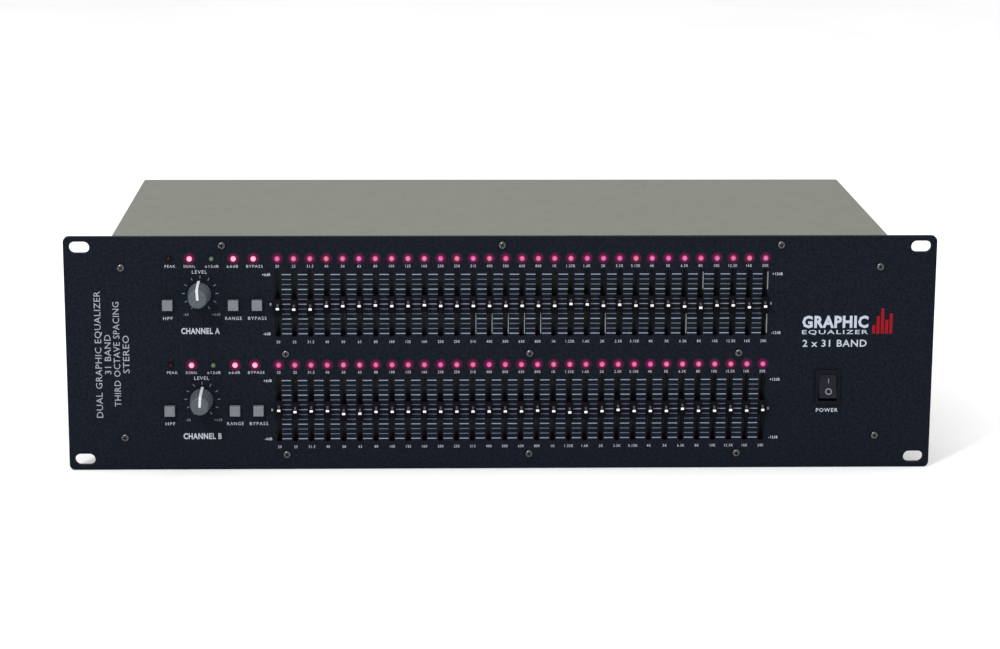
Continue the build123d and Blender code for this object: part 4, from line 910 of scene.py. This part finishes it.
def inlet_mask(tree, axes):
    """The three blades in the inlet's cavity."""
    low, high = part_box("power_inlet")
    middle = (low + high) / 2
    across = maths(tree, "ABSOLUTE", maths(tree, "SUBTRACT", axes["X"], middle.x))
    up = maths(tree, "ABSOLUTE", maths(tree, "SUBTRACT", axes["Z"], middle.z - BLADES_BELOW))
    near = both(tree, maths(tree, "LESS_THAN", across, BLADES_HALF_X),
                maths(tree, "LESS_THAN", up, BLADES_HALF_Z))
    deep = both(tree, maths(tree, "GREATER_THAN", axes["Y"], high.y - BLADES_END),
                maths(tree, "LESS_THAN", axes["Y"], high.y - BLADES_START))
    return both(tree, near, deep)


def jack_mask(tree, axes):
    """The nuts that hold the jack sockets."""
    low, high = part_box("jack_sockets")
    in_x, out_x = high.x - JACK_HALF, low.x + JACK_HALF
    top_z, bottom_z = high.z - JACK_HALF, low.z + JACK_HALF
    radius, _, _ = radius_from_places(tree, axes, in_x, in_x - out_x, top_z, top_z - bottom_z)
    outside = maths(tree, "GREATER_THAN", radius, NUT_HOLE)
    behind = maths(tree, "GREATER_THAN", axes["Y"], BACK_Y + 0.02 * MM)
    return both(tree, outside, behind)


paint(PANEL, "front_panel")
paint(CASE, "top_cover", "chassis_tray")
paint(BUTTON, *[f"{name}_button_{side}" for name in ("hpf", "range", "bypass") for side in "ab"])
paint(ROCKER, "power_rocker")
paint(BEZEL, "power_switch_housing")
paint(BLACK, "button_switches", "signal_chips")
paint(metal_where("socket_finish", socket_mask), "xlr_sockets")
paint(metal_where("inlet_finish", inlet_mask), "power_inlet")
paint(metal_where("jack_finish", jack_mask), "jack_sockets")
paint(SCREW, "screws_and_standoffs")
paint(STEEL, "slide_pot_frames", "level_pots")
paint(BOARD, "slider_boards", "main_board")
paint(SLEEVE, "power_parts")
paint(IRON, "transformer_core")
paint(TAPE, "transformer_coil")
paint(LEAD, "wiring_looms")


# ---- stage, light and camera --------------------------------------------------------------

def stage_floor():
    """A pale floor 12 m across, a hair below the object."""
    data = bmesh.new()
    bmesh.ops.create_grid(data, x_segments=8, y_segments=8, size=6.0)
    mesh = bpy.data.meshes.new("stage_floor")
    data.to_mesh(mesh)
    data.free()
    floor = bpy.data.objects.new("stage_floor", mesh)
    floor.location.z = cad_box[0].z - 0.0002
    bpy.context.scene.collection.objects.link(floor)
    mesh.materials.append(surface("stage_white", (0.86, 0.86, 0.86), (0.9, 0.9, 0.9), 3, bump=0.0,
                                  rough=(0.8, 0.9), specular=0.1))


def area_light(name, place, target, size, power):
    """A rectangular light in watts that looks from its place at its target, in metres."""
    light = bpy.data.lights.new(name, "AREA")
    light.shape = "RECTANGLE"
    light.size, light.size_y = size
    light.energy = power
    lamp = bpy.data.objects.new(name, light)
    lamp.location = place
    lamp.rotation_mode = "QUATERNION"
    lamp.rotation_quaternion = (Vector(target) - Vector(place)).to_track_quat("-Z", "Y")
    bpy.context.scene.collection.objects.link(lamp)


def world_light(strength):
    """Even white light from all round."""
    world = bpy.data.worlds.new("studio")
    world.use_nodes = True
    world.node_tree.nodes["Background"].inputs["Color"].default_value = (1, 1, 1, 1)
    world.node_tree.nodes["Background"].inputs["Strength"].default_value = strength
    bpy.context.scene.world = world


# The camera: its place from the panel's middle line, the panel's face and the floor, in metres, its
# directions in degrees and its lens in millimetres.
CAMERA_X, CAMERA_AHEAD_OF_FACE, CAMERA_Z = -0.0477, 1.4355, 0.4091
CAMERA_AZIMUTH, CAMERA_ELEVATION, CAMERA_ROLL = 1.862, 12.802, 0.282
CAMERA_LENS = 95.49


def main_camera():
    """The camera stands left of centre, above the panel, and looks slightly down."""
    azimuth, elevation, roll = map(math.radians, (CAMERA_AZIMUTH, CAMERA_ELEVATION, CAMERA_ROLL))
    ahead = Vector((math.sin(azimuth) * math.cos(elevation), math.cos(azimuth) * math.cos(elevation),
                    -math.sin(elevation)))
    level = Vector((math.cos(azimuth), -math.sin(azimuth), 0))
    up = level.cross(ahead)
    right = level * math.cos(roll) + up * math.sin(roll)
    up = right.cross(ahead)
    turn = Matrix((right, up, -ahead)).transposed()
    lens = bpy.data.cameras.new("camera")
    lens.sensor_width = 36.0
    lens.lens = CAMERA_LENS
    lens.clip_end = 50
    camera = bpy.data.objects.new("camera", lens)
    place = Matrix.Translation((CAMERA_X, FACE_Y - CAMERA_AHEAD_OF_FACE, CAMERA_Z))
    camera.matrix_world = place @ turn.to_4x4()
    bpy.context.scene.collection.objects.link(camera)
    bpy.context.scene.camera = camera


stage_floor()
world_light(1.0)
area_light("overhead_softbox", (0, -0.2, 2.2), (0, 0.0, 0), (2.2, 1.4), 18)
area_light("key_light", (-0.9, -1.5, 1.7), (0, 0, 0.06), (0.26, 0.26), 26)
main_camera()
bpy.context.scene.view_settings.view_transform = "Standard"
